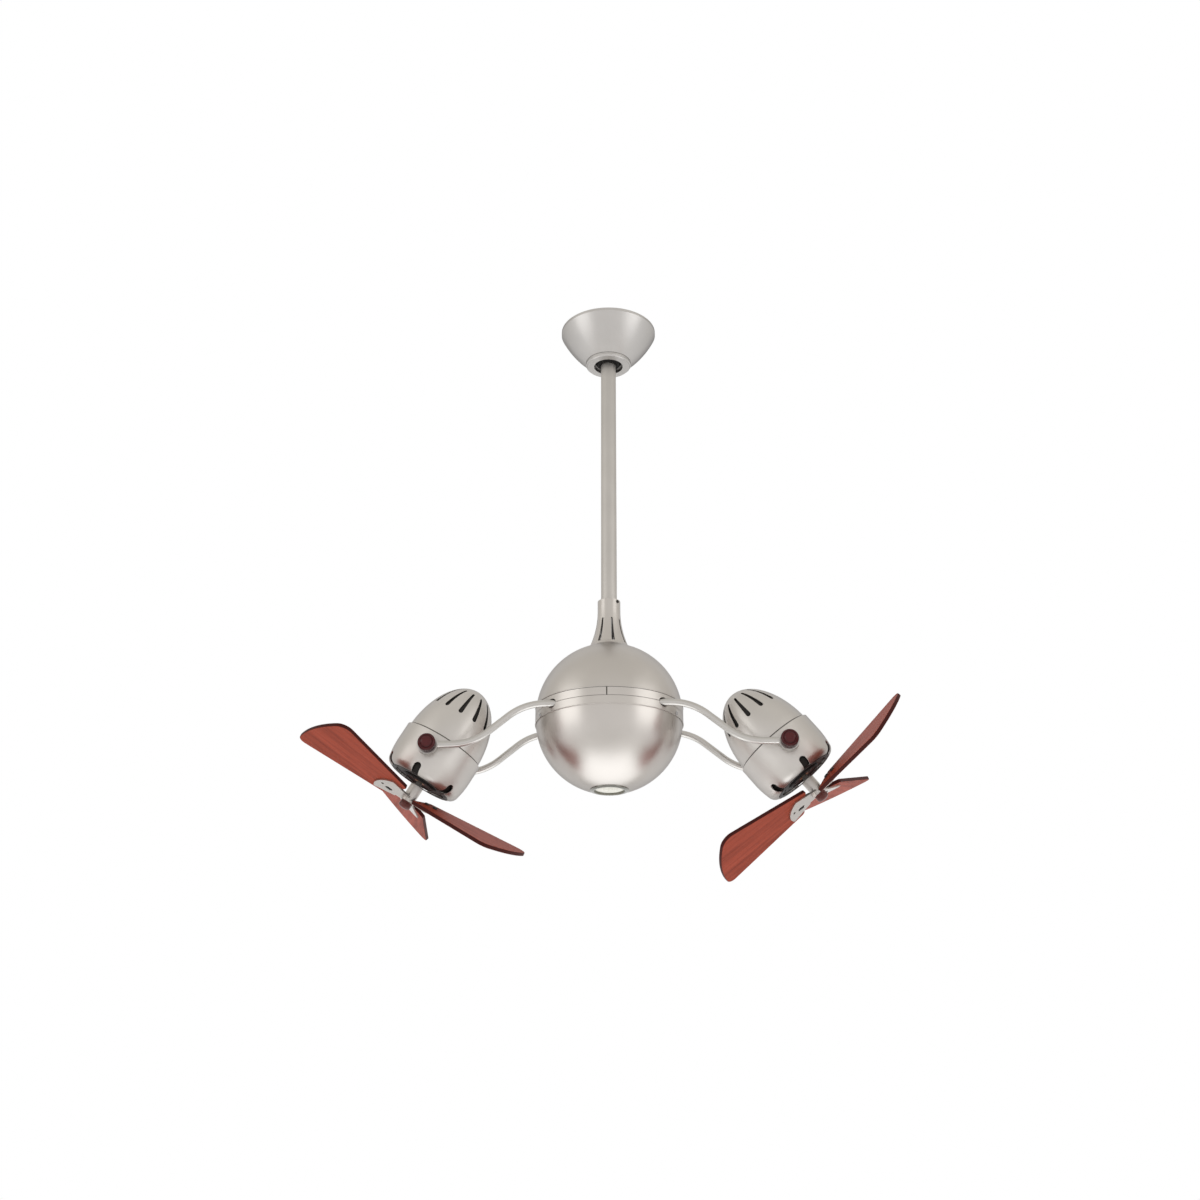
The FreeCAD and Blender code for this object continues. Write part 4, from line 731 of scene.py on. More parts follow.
class Shaper:
    """A new piece being shaped with mesh operators, in millimetres in frames of its own."""

    def __init__(self, name: str) -> None:
        """Starts an empty piece.

        Args:
            name: the piece's name.
        """
        self.name = name
        self.shape = bmesh.new()

    def join(self, other: bmesh.types.BMesh, place: Matrix) -> None:
        """Puts a shape in its place and adds it to the piece.

        Args:
            other: the shape, in millimetres.
            place: its frame in the model.
        """
        bmesh.ops.recalc_face_normals(other, faces=other.faces)
        bmesh.ops.transform(other, matrix=place @ Matrix.Scale(MM, 4), verts=other.verts)
        carrier = bpy.data.meshes.new(self.name)
        other.to_mesh(carrier)
        other.free()
        self.shape.from_mesh(carrier)
        bpy.data.meshes.remove(carrier)

    def turned(self, profile: Profile, place: Matrix, segments: int = 72) -> None:
        """Adds a solid turned about its frame's Z axis.

        Args:
            profile: (radius, height) points from axis to axis, or round a closed outline.
            place: the frame.
            segments: steps round the axis.
        """
        shape = bmesh.new()
        points = [shape.verts.new((radius, 0.0, height)) for radius, height in profile]
        edges = [shape.edges.new(pair) for pair in zip(points, points[1:])]
        bmesh.ops.spin(shape, geom=points + edges, axis=UP, angle=FULL_TURN, steps=segments,
                       use_merge=True)
        bmesh.ops.remove_doubles(shape, verts=shape.verts, dist=SAME_POINT)
        self.join(shape, place)

    def blocks(self, size: Vector, middle: Vector, place: Matrix, count: int = 1) -> None:
        """Adds rounded blocks, evenly spaced about their frame's Z axis.

        Args:
            size: a block's lengths.
            middle: the first block's middle.
            place: the frame.
            count: how many.
        """
        for index in range(count):
            shape = bmesh.new()
            stretch = Matrix.Diagonal((*size, 1.0))
            bmesh.ops.create_cube(shape, matrix=Matrix.Translation(middle) @ stretch)
            bmesh.ops.bevel(shape, geom=shape.edges, offset=min(size) / 5, affect="EDGES", segments=2,
                            profile=0.5, material=-1)
            self.join(shape, place @ Matrix.Rotation(FULL_TURN * index / count, 4, "Z"))

    def fastener(self, profile: Profile, drive: Drive, reach: float, depth: float,
                 place: Matrix) -> None:
        """Adds a fastener's head with a recess in its top.

        Args:
            profile: (radius, height) points from the rim of the flat top down.
            drive: the recess's form.
            reach: how far the recess reaches from the middle.
            depth: how deep it is.
            place: the frame, with Z out of the head.
        """
        shape = bmesh.new()
        top_radius, top = profile[0]
        rim = bmesh.ops.create_circle(shape, segments=HEAD_SEGMENTS, radius=top_radius)["verts"]
        rim_edges = list(shape.edges)
        corners = [shape.verts.new((x, y, 0.0)) for x, y in drive.outline(reach)]
        recess = [shape.edges.new(pair) for pair in zip(corners, corners[1:] + corners[:1])]
        bmesh.ops.translate(shape, vec=(0, 0, top), verts=rim + corners)
        bmesh.ops.triangle_fill(shape, use_beauty=True, edges=rim_edges + recess)
        floor, floor_edges = self.drawn_out(shape, recess)
        bmesh.ops.translate(shape, vec=(0, 0, -depth), verts=floor)
        bmesh.ops.edgeloop_fill(shape, edges=floor_edges)
        for (radius, height), (next_radius, next_height) in zip(profile, profile[1:]):
            rim, rim_edges = self.drawn_out(shape, rim_edges)
            bmesh.ops.scale(shape, vec=(next_radius / radius, next_radius / radius, 1.0), verts=rim)
            bmesh.ops.translate(shape, vec=(0, 0, next_height - height), verts=rim)
        bmesh.ops.edgeloop_fill(shape, edges=rim_edges)
        self.join(shape, place)

    @staticmethod
    def drawn_out(shape: bmesh.types.BMesh, edges: list[bmesh.types.BMEdge]) -> tuple[list, list]:
        """Extrudes a loop of edges.

        Args:
            shape: the mesh.
            edges: the loop.

        Returns:
            The new loop's vertices and its edges.
        """
        made = bmesh.ops.extrude_edge_only(shape, edges=edges)["geom"]
        return ([item for item in made if isinstance(item, bmesh.types.BMVert)],
                [item for item in made if isinstance(item, bmesh.types.BMEdge)])

    def finish(self, material: bpy.types.Material, body: str,
               replaces: Sequence[str] = ()) -> None:
        """Makes the piece an object that rides on a body.

        Args:
            material: its finish.
            body: the body's name.
            replaces: nodes that the piece stands for.
        """
        mesh = bpy.data.meshes.new(self.name)
        self.shape.to_mesh(mesh)
        self.shape.free()
        mesh.shade_smooth()
        mesh.set_sharp_from_angle(angle=SHARP_ANGLE)
        mesh.materials.append(material)
        piece = bpy.data.objects.new(self.name, mesh)
        bpy.context.scene.collection.objects.link(piece)
        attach(piece, body)
        if replaces:
            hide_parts(*replaces)
        LOG.info("%s made for %s", self.name, body)


@dataclass(frozen=True)
class PanHead:
    """The head of a pan-headed screw: its size and its recess."""

    radius: float
    height: float
    drive: Drive
    reach: float
    depth: float

    def make(self, piece: Shaper, place: Matrix) -> None:
        """Adds the head to a piece.

        Args:
            piece: the piece.
            place: the frame of the head's seat, with Z out of the head.
        """
        outline = ((0.66, 1.0), (0.86, 0.88), (0.97, 0.6), (1.0, 0.25), (1.0, 0.0))
        profile = [(self.radius * across, self.height * up) for across, up in outline]
        piece.fastener(profile, self.drive, self.reach, self.depth, place)


def ring_section(inner: float, outer: float, foot: float, top: float, corner: float) -> Profile:
    """The closed outline of a ring with its outer corners cut off.

    Args:
        inner: the ring's inner radius.
        outer: its outer radius.
        foot: its lower height.
        top: its upper height.
        corner: how much is cut off.

    Returns:
        (radius, height) points.
    """
    return [(inner, foot), (outer - corner, foot), (outer, foot + corner), (outer, top - corner),
            (outer - corner, top), (inner, top), (inner, foot)]


def mean_of(points: Sequence[Vector]) -> Vector:
    """The mean of some points."""
    return sum(points, Vector()) / len(points)


class Model:
    """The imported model: its nodes, joints and places."""

    def __init__(self, frame: dict) -> None:
        """Args:
            frame: the loaded frame.
        """
        self.nodes = frame["nodes"]
        self.joints = {joint["name"]: joint for joint in frame["joints"]}

    def paint(self, material: bpy.types.Material, *names: str) -> None:
        """Gives nodes a material.

        Args:
            material: the material.
            names: the nodes' names.
        """
        for name in names:
            mesh = self.nodes[name].data
            mesh.materials.clear()
            mesh.materials.append(material)
            LOG.info("%s dressed in %s", name, material.name)

    def points(self, name: str) -> list[Vector]:
        """The points of a node."""
        return [vertex.co for vertex in self.nodes[name].data.vertices]

    def joint_point(self, name: str) -> Vector:
        """The point that a joint turns about."""
        return Vector(self.joints[name]["pos_m"])

    def joint_axis(self, name: str) -> Vector:
        """The unit axis of a joint."""
        return Vector(self.joints[name]["axis"]).normalized()

    def middle(self, name: str) -> Vector:
        """The mean of a node's points."""
        return mean_of(self.points(name))

    def span(self, name: str, origin: Vector, axis: Vector) -> tuple[float, float]:
        """Where a node starts and ends along an axis.

        Args:
            name: the node's name.
            origin: the point that distances count from.
            axis: the direction.

        Returns:
            The least and the greatest distance.
        """
        places = [(point - origin).dot(axis) for point in self.points(name)]
        return min(places), max(places)

    def solids(self, name: str) -> list[list[Vector]]:
        """The points of each separate solid of a node."""
        shape = bmesh.new()
        shape.from_mesh(self.nodes[name].data)
        bmesh.ops.remove_doubles(shape, verts=shape.verts, dist=SAME_POINT * MM)
        waiting = dict.fromkeys(shape.verts)
        solids = []
        while waiting:
            front = [next(iter(waiting))]
            del waiting[front[0]]
            points = []
            while front:
                vertex = front.pop()
                points.append(vertex.co.copy())
                for edge in vertex.link_edges:
                    other = edge.other_vert(vertex)
                    if other in waiting:
                        del waiting[other]
                        front.append(other)
            solids.append(points)
        shape.free()
        return solids

    def flat_normal(self, name: str) -> Vector:
        """The direction that most of a flat node's surface faces."""
        total = Vector()
        for polygon in self.nodes[name].data.polygons:
            way = polygon.normal * polygon.area
            total += way if way.dot(total) >= 0 else -way
        return total.normalized()


def outer_end(points: Sequence[Vector], axis: Vector) -> Vector:
    """The middle of a round solid's end that lies furthest along an axis.

    Args:
        points: the solid's points.
        axis: the direction of its own axis.

    Returns:
        The point on the solid's axis.
    """
    far = max(point.dot(axis) for point in points)
    return mean_of([point for point in points if far - point.dot(axis) < 0.01 * MM])


def frame_of(origin: Vector, along_z: Vector, along_x: Vector) -> Matrix:
    """A frame from its origin, its Z axis and a direction near its X axis.

    Args:
        origin: the frame's origin.
        along_z: its Z direction.
        along_x: a direction whose part square to Z is its X direction.

    Returns:
        The frame as a matrix.
    """
    z_axis = along_z.normalized()
    x_axis = (along_x - z_axis * along_x.dot(z_axis)).normalized()
    y_axis = z_axis.cross(x_axis)
    columns = Matrix((x_axis, y_axis, z_axis)).transposed().to_4x4()
    return Matrix.Translation(origin) @ columns


@dataclass
class CeilingMount:
    """Bracket, canopy and trim ring on the ceiling."""

    model: Model
    body: str = "ceiling_mount"
    trim_radius: float = 40.0
    # Size of the dark ring of painted shade in the canopy's seam.
    shade_width: float = 1.0
    shade_depth: float = 1.0
    shade_proud: float = 0.25

    def build(self) -> None:
        """Lays a dark ring in the seam between the canopy and its trim ring: painted shade for the seam's
        shadow.
        """
        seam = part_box("canopy_trim_ring")[1][2] / MM
        shade_ring = Shaper("canopy_trim_seal")
        shade_ring.turned(ring_section(self.trim_radius - self.shade_depth, self.trim_radius + self.shade_proud,
                                 seam - self.shade_width / 2, seam + self.shade_width / 2, SMALL_CORNER),
                    MODEL_FRAME, 120)
        shade_ring.finish(Finishes.painted_shade_line.material(), self.body)

    def dress(self) -> None:
        """Gives the ceiling mount its finishes."""
        self.model.paint(Finishes.canopy_nickel.material(), "canopy", "canopy_trim_ring")
        self.model.paint(Finishes.steel.material(), "hanger_bracket", "canopy_screws")


@dataclass
class HangingRod:
    """Hanger ball, rod, neck cover and spindle."""

    model: Model
    body: str = "hanging_rod"
    rod_radius: float = 13.35
    collar_radius: float = 17.4
    collar_play: float = 0.15
    collar_sink: float = 0.2
    collar_plate: float = 0.6
    rib_inset: float = 0.3
    rib_width: float = 1.2
    rib_height: float = 1.6
    rib_count: int = 22
    set_screw_outline: Profile = ((2.0, 0.0), (2.5, -0.4), (2.5, -6.5))
    set_screw_socket: tuple[float, float] = (1.3, 1.4)
    ball_radius: float = 119.5
    ball_middle: float = -728.0
    lip_gap: float = 0.4
    lip_flare: Profile = ((31.6, 6.0), (32.9, 3.0), (34.6, 1.0), (36.9, -0.7))
    lip_seat: tuple[float, float, float] = (39.6, 36.5, 33.0)
    lip_back: float = 0.5

    def build(self) -> None:
        """Makes the collar under the hanger ball, the neck's set screw and the neck's foot lip."""
        self.build_collar()
        self.build_set_screw()
        self.build_foot_lip()

    def build_collar(self) -> None:
        """Makes the ribbed collar under the hanger ball."""
        under = Matrix.Translation((0, 0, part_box("hanger_ball")[0][2]))
        collar = Shaper("hanger_collar")
        collar.turned(ring_section(self.rod_radius + self.collar_play, self.collar_radius, -self.collar_plate,
                                   self.collar_sink, SMALL_CORNER), under)
        length = self.collar_radius - self.rod_radius - 2 * self.rib_inset
        middle = Vector((self.rod_radius + self.rib_inset + length / 2, 0, -self.rib_height / 2))
        collar.blocks(Vector((length, self.rib_width, self.rib_height)), middle, under, self.rib_count)
        collar.finish(Finishes.nylon.material(), self.body)

    def build_set_screw(self) -> None:
        """Makes the neck's set screw with its hexagon socket."""
        middle = self.model.middle("neck_set_screw")
        outward = Vector((middle.x, middle.y, 0)).normalized()
        end = outer_end(self.model.points("neck_set_screw"), outward)
        screw = Shaper("neck_socket_screw")
        screw.fastener(self.set_screw_outline, Drive.HEX, *self.set_screw_socket, frame_of(end, outward, UP))
        screw.finish(Finishes.black_steel.material(), self.body, ["neck_set_screw"])

    def build_foot_lip(self) -> None:
        """Flares a thin lip from the neck's foot, just clear of the ball."""
        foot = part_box("neck_cover")[0][2] / MM
        outer = [(radius, foot + height) for radius, height in self.lip_flare]
        seat = [(radius, self.ball_middle + math.sqrt(self.ball_radius ** 2 - radius ** 2) + self.lip_gap)
                for radius in self.lip_seat]
        back = (outer[0][0], foot + self.lip_back)
        lip = Shaper("neck_foot_lip")
        lip.turned([*outer, *seat, back, outer[0]], MODEL_FRAME, 120)
        lip.finish(Finishes.nickel.material(), self.body)

    def dress(self) -> None:
        """Gives the rod and what hangs on it their finishes."""
        self.model.paint(Finishes.nickel.material(), "neck_cover")
        self.model.paint(Finishes.tube.material(), "downrod")
        self.model.paint(Finishes.nylon.material(), "hanger_ball")
        self.model.paint(Finishes.steel.material(), "rod_pins", "spindle", "spindle_nut",
                         "spindle_bearing_inner")
        self.model.paint(Finishes.brass.material(), "slip_rings")


@dataclass
class TurningBall:
    """Ball shells, belt, lamp and arms."""

    model: Model
    body: str = "carousel"
    rim_radius: float = 120.3
    rim_drop: float = 13.6
    belt_height: float = 14.2
    bead: float = 0.75
    bead_inset: float = 0.3
    bead_steps: int = 12
    # Sizes of the painted shade: a dark line under the belt's bead and a dark strip in its split.
    line_depth: float = 0.6
    line_proud: float = 0.08
    line_below: tuple[float, float] = (1.5, 0.8)
    line_corner: float = 0.02
    split_size: Vector = Vector((2.0, 1.4, 14.2))
    split_inset: float = 1.3
    lamp_radius: float = 24.3
    lamp_crown: float = 2.0
    lamp_rings: int = 9
    ring_share: float = 0.92
    ring_width: float = 0.5
    ring_rise: float = 0.25
    lamp_back: Profile = ((24.3, 0.4), (24.3, 2.0), (19.5, 18.0), (9.0, 36.0))
    screw: PanHead = PanHead(3.4, 1.6, Drive.CROSS, 1.9, 0.9)
    segments: int = 160

    def build(self) -> None:
        """Makes the belt's beads and its painted shade lines, the lamp and the shell's screws."""
        self.build_beads()
        self.build_belt_lines()
        self.build_lamp()
        self.build_screws()

    @property
    def belt_top(self) -> float:
        """The height of the belt's upper edge."""
        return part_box("equator_belt")[1][2] / MM

    def build_beads(self) -> None:
        """Rolls a bead along the belt's upper edge and the lower rim."""
        radius = self.rim_radius - self.bead_inset
        turns = [FULL_TURN * index / self.bead_steps for index in range(self.bead_steps + 1)]
        rim = self.belt_top - self.belt_height - self.rim_drop
        for name, height in (("belt_bead", self.belt_top), ("rim_bead", rim)):
            bead = Shaper(name)
            bead.turned([(radius + self.bead * math.cos(turn), height + self.bead * math.sin(turn))
                         for turn in turns], MODEL_FRAME, self.segments)
            bead.finish(Finishes.nickel.material(), self.body)

    def build_belt_lines(self) -> None:
        """Draws painted shade: a dark line under the belt's bead and a dark strip in the belt's split, where
        only their shadow is dark.
        """
        low, high = (self.belt_top - below for below in self.line_below)
        line = Shaper("belt_edge_line")
        line.turned(ring_section(self.rim_radius - self.line_depth, self.rim_radius + self.line_proud,
                                 low, high, self.line_corner), MODEL_FRAME, self.segments)
        line.finish(Finishes.painted_shade_line.material(), self.body)
        split = Shaper("belt_split_strip")
        split.blocks(self.split_size, Vector((0, -self.rim_radius + self.split_inset,
                                              self.belt_top - self.belt_height / 2)), MODEL_FRAME)
        split.finish(Finishes.painted_shade_line.material(), self.body)

    def build_lamp(self) -> None:
        """Makes the lamp with its ringed lens."""
        low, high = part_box("lamp")
        tip, top = low[2] / MM, high[2] / MM
        face = tip + self.lamp_crown
        outline = [(0.0, tip)]
        for index in range(1, self.lamp_rings + 1):
            radius = self.lamp_radius * self.ring_share * index / self.lamp_rings
            height = tip + self.lamp_crown * (radius / self.lamp_radius) ** 2
            outline += [(radius - self.ring_width, height - self.ring_rise),
                        (radius, height + self.ring_rise)]
        outline.append((self.lamp_radius * 0.97, face - 0.1))
        outline += [(radius, face + height) for radius, height in self.lamp_back]
        outline += [(self.lamp_back[-1][0], top), (0.0, top)]
        lamp = Shaper("reflector_lamp")
        lamp.turned(outline, MODEL_FRAME, 96)
        lamp.finish(Finishes.lens.material(), self.body, ["lamp"])

    def build_screws(self) -> None:
        """Makes the cross-recessed screws of the lower shell."""
        screws = Shaper("shell_pan_screws")
        for points in self.model.solids("shell_screws"):
            middle = mean_of(points)
            outward = Vector((middle.x, middle.y, 0)).normalized()
            seat = outer_end(points, outward) - outward * self.screw.height * MM
            self.screw.make(screws, frame_of(seat, outward, UP))
        screws.finish(Finishes.steel.material(), self.body, ["shell_screws"])

    def dress(self) -> None:
        """Gives the ball, the lamp and the arms their finishes."""
        self.model.paint(Finishes.nickel.material(), "upper_shell", "equator_belt", "lower_shell")
        self.model.paint(Finishes.bezel.material(), "lamp_trim_ring")
        self.model.paint(Finishes.steel.material(), "arm_clamp_screws", "spindle_bearing_outer",
                         "spindle_bearing_balls")
        self.model.paint(Finishes.cast.material(), "arm_carrier")
        self.model.paint(Finishes.nylon.material(), "brush_block")
        self.model.paint(Finishes.socket.material(), "lamp_holder")
        self.model.paint(Finishes.arm_tube.material(), *(
            "%s_%s_arm" % (side.word, end) for side in Side for end in KNOB_ENDS))


@dataclass
class Head:
    """One motor head with its rotor and knobs."""

    model: Model
    side: Side
    nose_radius: float = 64.35
    # Outline of the dark ring of painted shade in the nose's seam, about the nose's radius and the seam.
    seam_shade_outline: Profile = ((-0.3, 0.0), (2.9, 0.0), (2.6, -0.6), (0.2, -2.4), (-0.3, -2.4), (-0.3, 0.0))
    lip_radii: tuple[float, float] = (44.8, 52.4)
    lip_heights: tuple[float, float] = (-0.1, 0.5)
    disc_radii: tuple[float, float] = (24.5, 27.5)
    disc_heights: tuple[float, float] = (-0.4, 1.1)
    disc_corner: float = 0.3
    disc_depth: float = 2.0
    disc_screw: PanHead = PanHead(2.6, 1.3, Drive.CROSS, 1.4, 0.8)
    disc_screw_circle: float = 19.0
    plate_bolt: PanHead = PanHead(3.0, 1.7, Drive.HEX, 1.5, 1.0)
    plate_bolt_circle: float = 40.0
    face_screw_count: int = 3
    nut_outline: Profile = (
        (0.0, 0.0), (9.6, 0.0), (10.0, 0.5), (10.0, 2.4), (9.3, 2.9), (9.3, 3.5), (9.9, 4.0), (9.9, 7.4),
        (9.4, 8.9), (8.2, 10.3), (6.1, 11.3), (3.5, 11.85), (0.0, 12.0))
    knob_outline: Profile = (
        (0.0, 0.0), (10.6, 0.0), (11.0, 0.5), (11.1, 2.0), (12.2, 3.2), (13.5, 4.2), (14.0, 5.6), (14.0, 8.6),
        (13.6, 10.0), (12.5, 11.3), (11.3, 12.0), (10.7, 11.7), (10.1, 11.2), (9.6, 11.4), (9.2, 12.3),
        (7.8, 13.6), (5.4, 14.5), (2.8, 14.9), (0.0, 15.0))
    blade_screw: PanHead = PanHead(4.0, 2.5, Drive.CROSS, 2.1, 1.3)
    # The dark blocks of painted shade in the iron slots: their size and lift.
    slot_shade_size: Vector = Vector((11.4, 4.6, 1.2))
    slot_shade_lift: float = 0.35
    nose_middle: float = 4.0
    # Size of the dark dome of painted shade inside the nose.
    shade_dome_radius: float = 61.2
    shade_dome_length: float = 105.8
    shade_dome_wall: float = 0.8
    shade_dome_foot: float = 13.0
    shade_dome_steps: int = 18

    def build(self) -> None:
        """Makes the seam's painted shade, the dark dome of painted shade in the nose, motor face, hub nut,
        blade screws, painted shade in the iron slots and knobs.
        """
        seam, face = (end / MM for end in self.span("front_case"))
        self.build_seam_shade(seam)
        self.build_nose_liner(seam + self.nose_middle)
        self.build_face_rings(face)
        self.build_face_screws(face)
        self.build_hub_nut()
        self.build_blade_screws()
        self.build_iron_slot_shade()
        for end in KNOB_ENDS:
            self.build_knob(end)

    def build_seam_shade(self, seam: float) -> None:
        """Fits a dark ring in the seam between nose and front: painted shade for the seam's shadow.

        Args:
            seam: the seam's height in the head's frame.
        """
        painted_shade_line = Shaper(self.name("seam_gasket"))
        outline = [(self.nose_radius + out, seam + up) for out, up in self.seam_shade_outline]
        painted_shade_line.turned(outline, self.place, 120)
        painted_shade_line.finish(Finishes.painted_shade_line.material(self.place, self.tag), self.name("head"))

    def build_face_rings(self, face: float) -> None:
        """Lays the dark rings on the motor's face.

        Args:
            face: the face's height in the head's frame.
        """
        ring = Shaper(self.name("motor_face_ring"))
        for radii, heights, corner, segments in (
                (self.lip_radii, self.lip_heights, SMALL_CORNER, 120),
                (self.disc_radii, self.disc_heights, self.disc_corner, 72)):
            low, high = (face + height for height in heights)
            ring.turned(ring_section(*radii, low, high, corner), self.place, segments)
        ring.finish(Finishes.enamel.material(self.place, self.tag), self.name("head"))

    def build_face_screws(self, face: float) -> None:
        """Makes the screws of the end disc and the bolts of the motor's plate.

        Args:
            face: the face's height in the head's frame.
        """
        screws = Shaper(self.name("motor_face_screws"))
        for index in range(self.face_screw_count):
            turn = FULL_TURN * index / self.face_screw_count
            outward = Vector((math.cos(turn), math.sin(turn), 0))
            for head, circle, height in ((self.disc_screw, self.disc_screw_circle, face),
                                         (self.plate_bolt, self.plate_bolt_circle, face - self.disc_depth)):
                head.make(screws, self.place @ Matrix.Translation((outward * circle + UP * height) * MM))
        screws.finish(Finishes.black_steel.material(), self.name("head"))

    def build_nose_liner(self, middle: float) -> None:
        """Lines the nose with a dark dome, painted shade inside the nose, so that no light shows through its
        slots.

        Args:
            middle: height of the nose's widest place in the head's frame.
        """
        start = math.asin(self.shade_dome_foot / self.shade_dome_length)
        sweep = math.pi / 2 - start
        turns = [start + sweep * step / self.shade_dome_steps for step in range(self.shade_dome_steps + 1)]
        outer, inner = ([((self.shade_dome_radius - wall) * math.cos(turn),
                          middle - (self.shade_dome_length - wall) * math.sin(turn)) for turn in turns]
                        for wall in (0.0, self.shade_dome_wall))
        shade_dome = Shaper(self.name("nose_liner"))
        shade_dome.turned([*outer, *reversed(inner), outer[0]], self.place)
        shade_dome.finish(Finishes.enamel.material(), self.name("head"))

    def build_hub_nut(self) -> None:
        """Turns the domed nut on the end of the shaft."""
        foot = Matrix.Translation((0, 0, self.span("hub_nut")[0]))
        nut = Shaper(self.name("hub_acorn_nut"))
        nut.turned(self.nut_outline, self.place @ foot)
        nut.finish(Finishes.cap_wood.material(self.place, self.tag), self.name("rotor"),
                   [self.name("hub_nut")])

    def build_blade_screws(self) -> None:
        """Makes the cross-recessed screws on the backs of the blades."""
        back = -self.model.joint_axis(self.name("rotor_spin"))
        screws = Shaper(self.name("blade_pan_screws"))
        for blade in self.blades:
            for end, outward in self.screw_ends(blade, back):
                seat = end - outward * self.blade_screw.height * MM
                self.blade_screw.make(screws, frame_of(seat, outward, Vector((0, 1, 0))))
        screws.finish(Finishes.black_steel.material(), self.name("rotor"),
                      [self.name("blade_screws")])

    def build_iron_slot_shade(self) -> None:
        """Fills the slots on the fronts of the blade irons with dark blocks: painted shade for the slots'
        shadowed insides.
        """
        front = self.model.joint_axis(self.name("rotor_spin"))
        slot_shades = Shaper(self.name("iron_slot_plugs"))
        for blade in self.blades:
            (inner, outward), (outer, _) = self.screw_ends(blade, front)
            slot_shades.blocks(self.slot_shade_size, UP * self.slot_shade_lift, frame_of(inner, outward, outer - inner))
        slot_shades.finish(Finishes.nylon.material(), self.name("rotor"))

    def screw_ends(self, blade: str, facing: Vector) -> list[tuple[Vector, Vector]]:
        """The ends of a blade's screws on one side of the blade, nearest the shaft first.

        Args:
            blade: the blade's name.
            facing: a direction that tells the two sides apart.

        Returns:
            Each end's middle with the direction out of the blade.
        """
        outward = self.model.flat_normal(blade)
        outward = outward if outward.dot(facing) > 0 else -outward
        ends = [outer_end(points, outward) for points in self.model.solids(self.name("blade_screws"))
                if self.nearest_blade(mean_of(points)) == blade]
        shaft = self.model.middle(self.name("hub_nut"))
        return [(end, outward) for end in sorted(ends, key=lambda end: (end - shaft).length)]

    def nearest_blade(self, point: Vector) -> str:
        """The name of the blade whose middle lies nearest a point."""
        return min(self.blades, key=lambda name: (self.model.middle(name) - point).length)

    def build_knob(self, end: str) -> None:
        """Turns one clamp knob.

        Args:
            end: which arm it clamps, front or rear.
        """
        node = self.name(end + "_knob")
        low, high = (Vector(corner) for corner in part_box(node))
        middle = (low + high) / 2
        outward = Vector((0, math.copysign(1.0, middle.y), 0))
        seat = Vector((middle.x, min(low.y, high.y, key=abs), middle.z))
        knob = Shaper(self.name(end + "_turned_knob"))
        knob.turned(self.knob_outline, frame_of(seat, outward, Vector((1, 0, 0))))
        grain = frame_of(seat, Vector((0, 1, 0)), Vector((1, 0, 0)))
        knob.finish(Finishes.knob_wood.material(grain, " " + node), self.name(end + "_clamp"),
                    [node])

    @property
    def blades(self) -> list[str]:
        """The names of the head's blades."""
        return [self.name("blade_%d" % number) for number in (1, 2, 3)]

    def name(self, piece: str) -> str:
        """A node's whole name."""
        return self.side.word + "_" + piece

    @property
    def tag(self) -> str:
        """What tells this head's materials from the other head's."""
        return " " + self.side.word

    def span(self, piece: str) -> tuple[float, float]:
        """Where a node of the head starts and ends along the shaft, from the pivot."""
        return self.model.span(self.name(piece), self.place.to_translation(), self.place.col[2].to_3d())

    @property
    def place(self) -> Matrix:
        """The head's own frame: Z runs from the pivot to the blades."""
        axis = self.model.joint_axis(self.name("rotor_spin"))
        across = Vector((0, self.side.value, 0)).cross(axis)
        return frame_of(self.model.joint_point(self.name("tilt")), axis, across)

    def blade_place(self, blade: str) -> Matrix:
        """A blade's frame: X runs out from the shaft and Z is square to its face.

        Args:
            blade: the blade's node.

        Returns:
            The frame.
        """
        middle = self.model.middle(blade)
        hub = self.model.joint_point(self.name("rotor_spin"))
        return frame_of(middle, self.model.flat_normal(blade), middle - hub)

    def dress(self) -> None:
        """Gives the head, its rotor and its knobs their finishes."""
        place = self.place
        paint = self.model.paint
        paint(Finishes.case_nickel.material(place, self.tag), self.name("rear_case"), self.name("front_case"))
        paint(Finishes.enamel.material(place, self.tag), self.name("motor_can"))
        paint(Finishes.laminations.material(place, self.tag), self.name("stator"), self.name("armature"))
        paint(Finishes.bronze.material(place, self.tag), self.name("motor_bushes"))
        paint(Finishes.steel.material(), self.name("pivot_studs"))
        paint(Finishes.iron.material(place, self.tag), self.name("blade_spider"))
        for number, blade in enumerate(self.blades, 1):
            wood = Finishes.mahogany.material(self.blade_place(blade), "%s %d" % (self.tag, number))
            paint(wood, blade)


@dataclass
class SoftLamp:
    """A square area lamp of the studio."""

    name: str
    spot: Vector
    target: Vector
    width: float
    power: float
    colour: Colour = (1.0, 1.0, 1.0)

    def build(self) -> None:
        """Adds the lamp, turned to its target."""
        lamp = bpy.data.lights.new(self.name, "AREA")
        lamp.size = self.width
        lamp.energy = self.power
        lamp.color = self.colour
        holder = bpy.data.objects.new(self.name, lamp)
        holder.location = self.spot
        holder.rotation_euler = (self.target - self.spot).to_track_quat("-Z", "Y").to_euler()
        holder.visible_camera = False
        bpy.context.scene.collection.objects.link(holder)


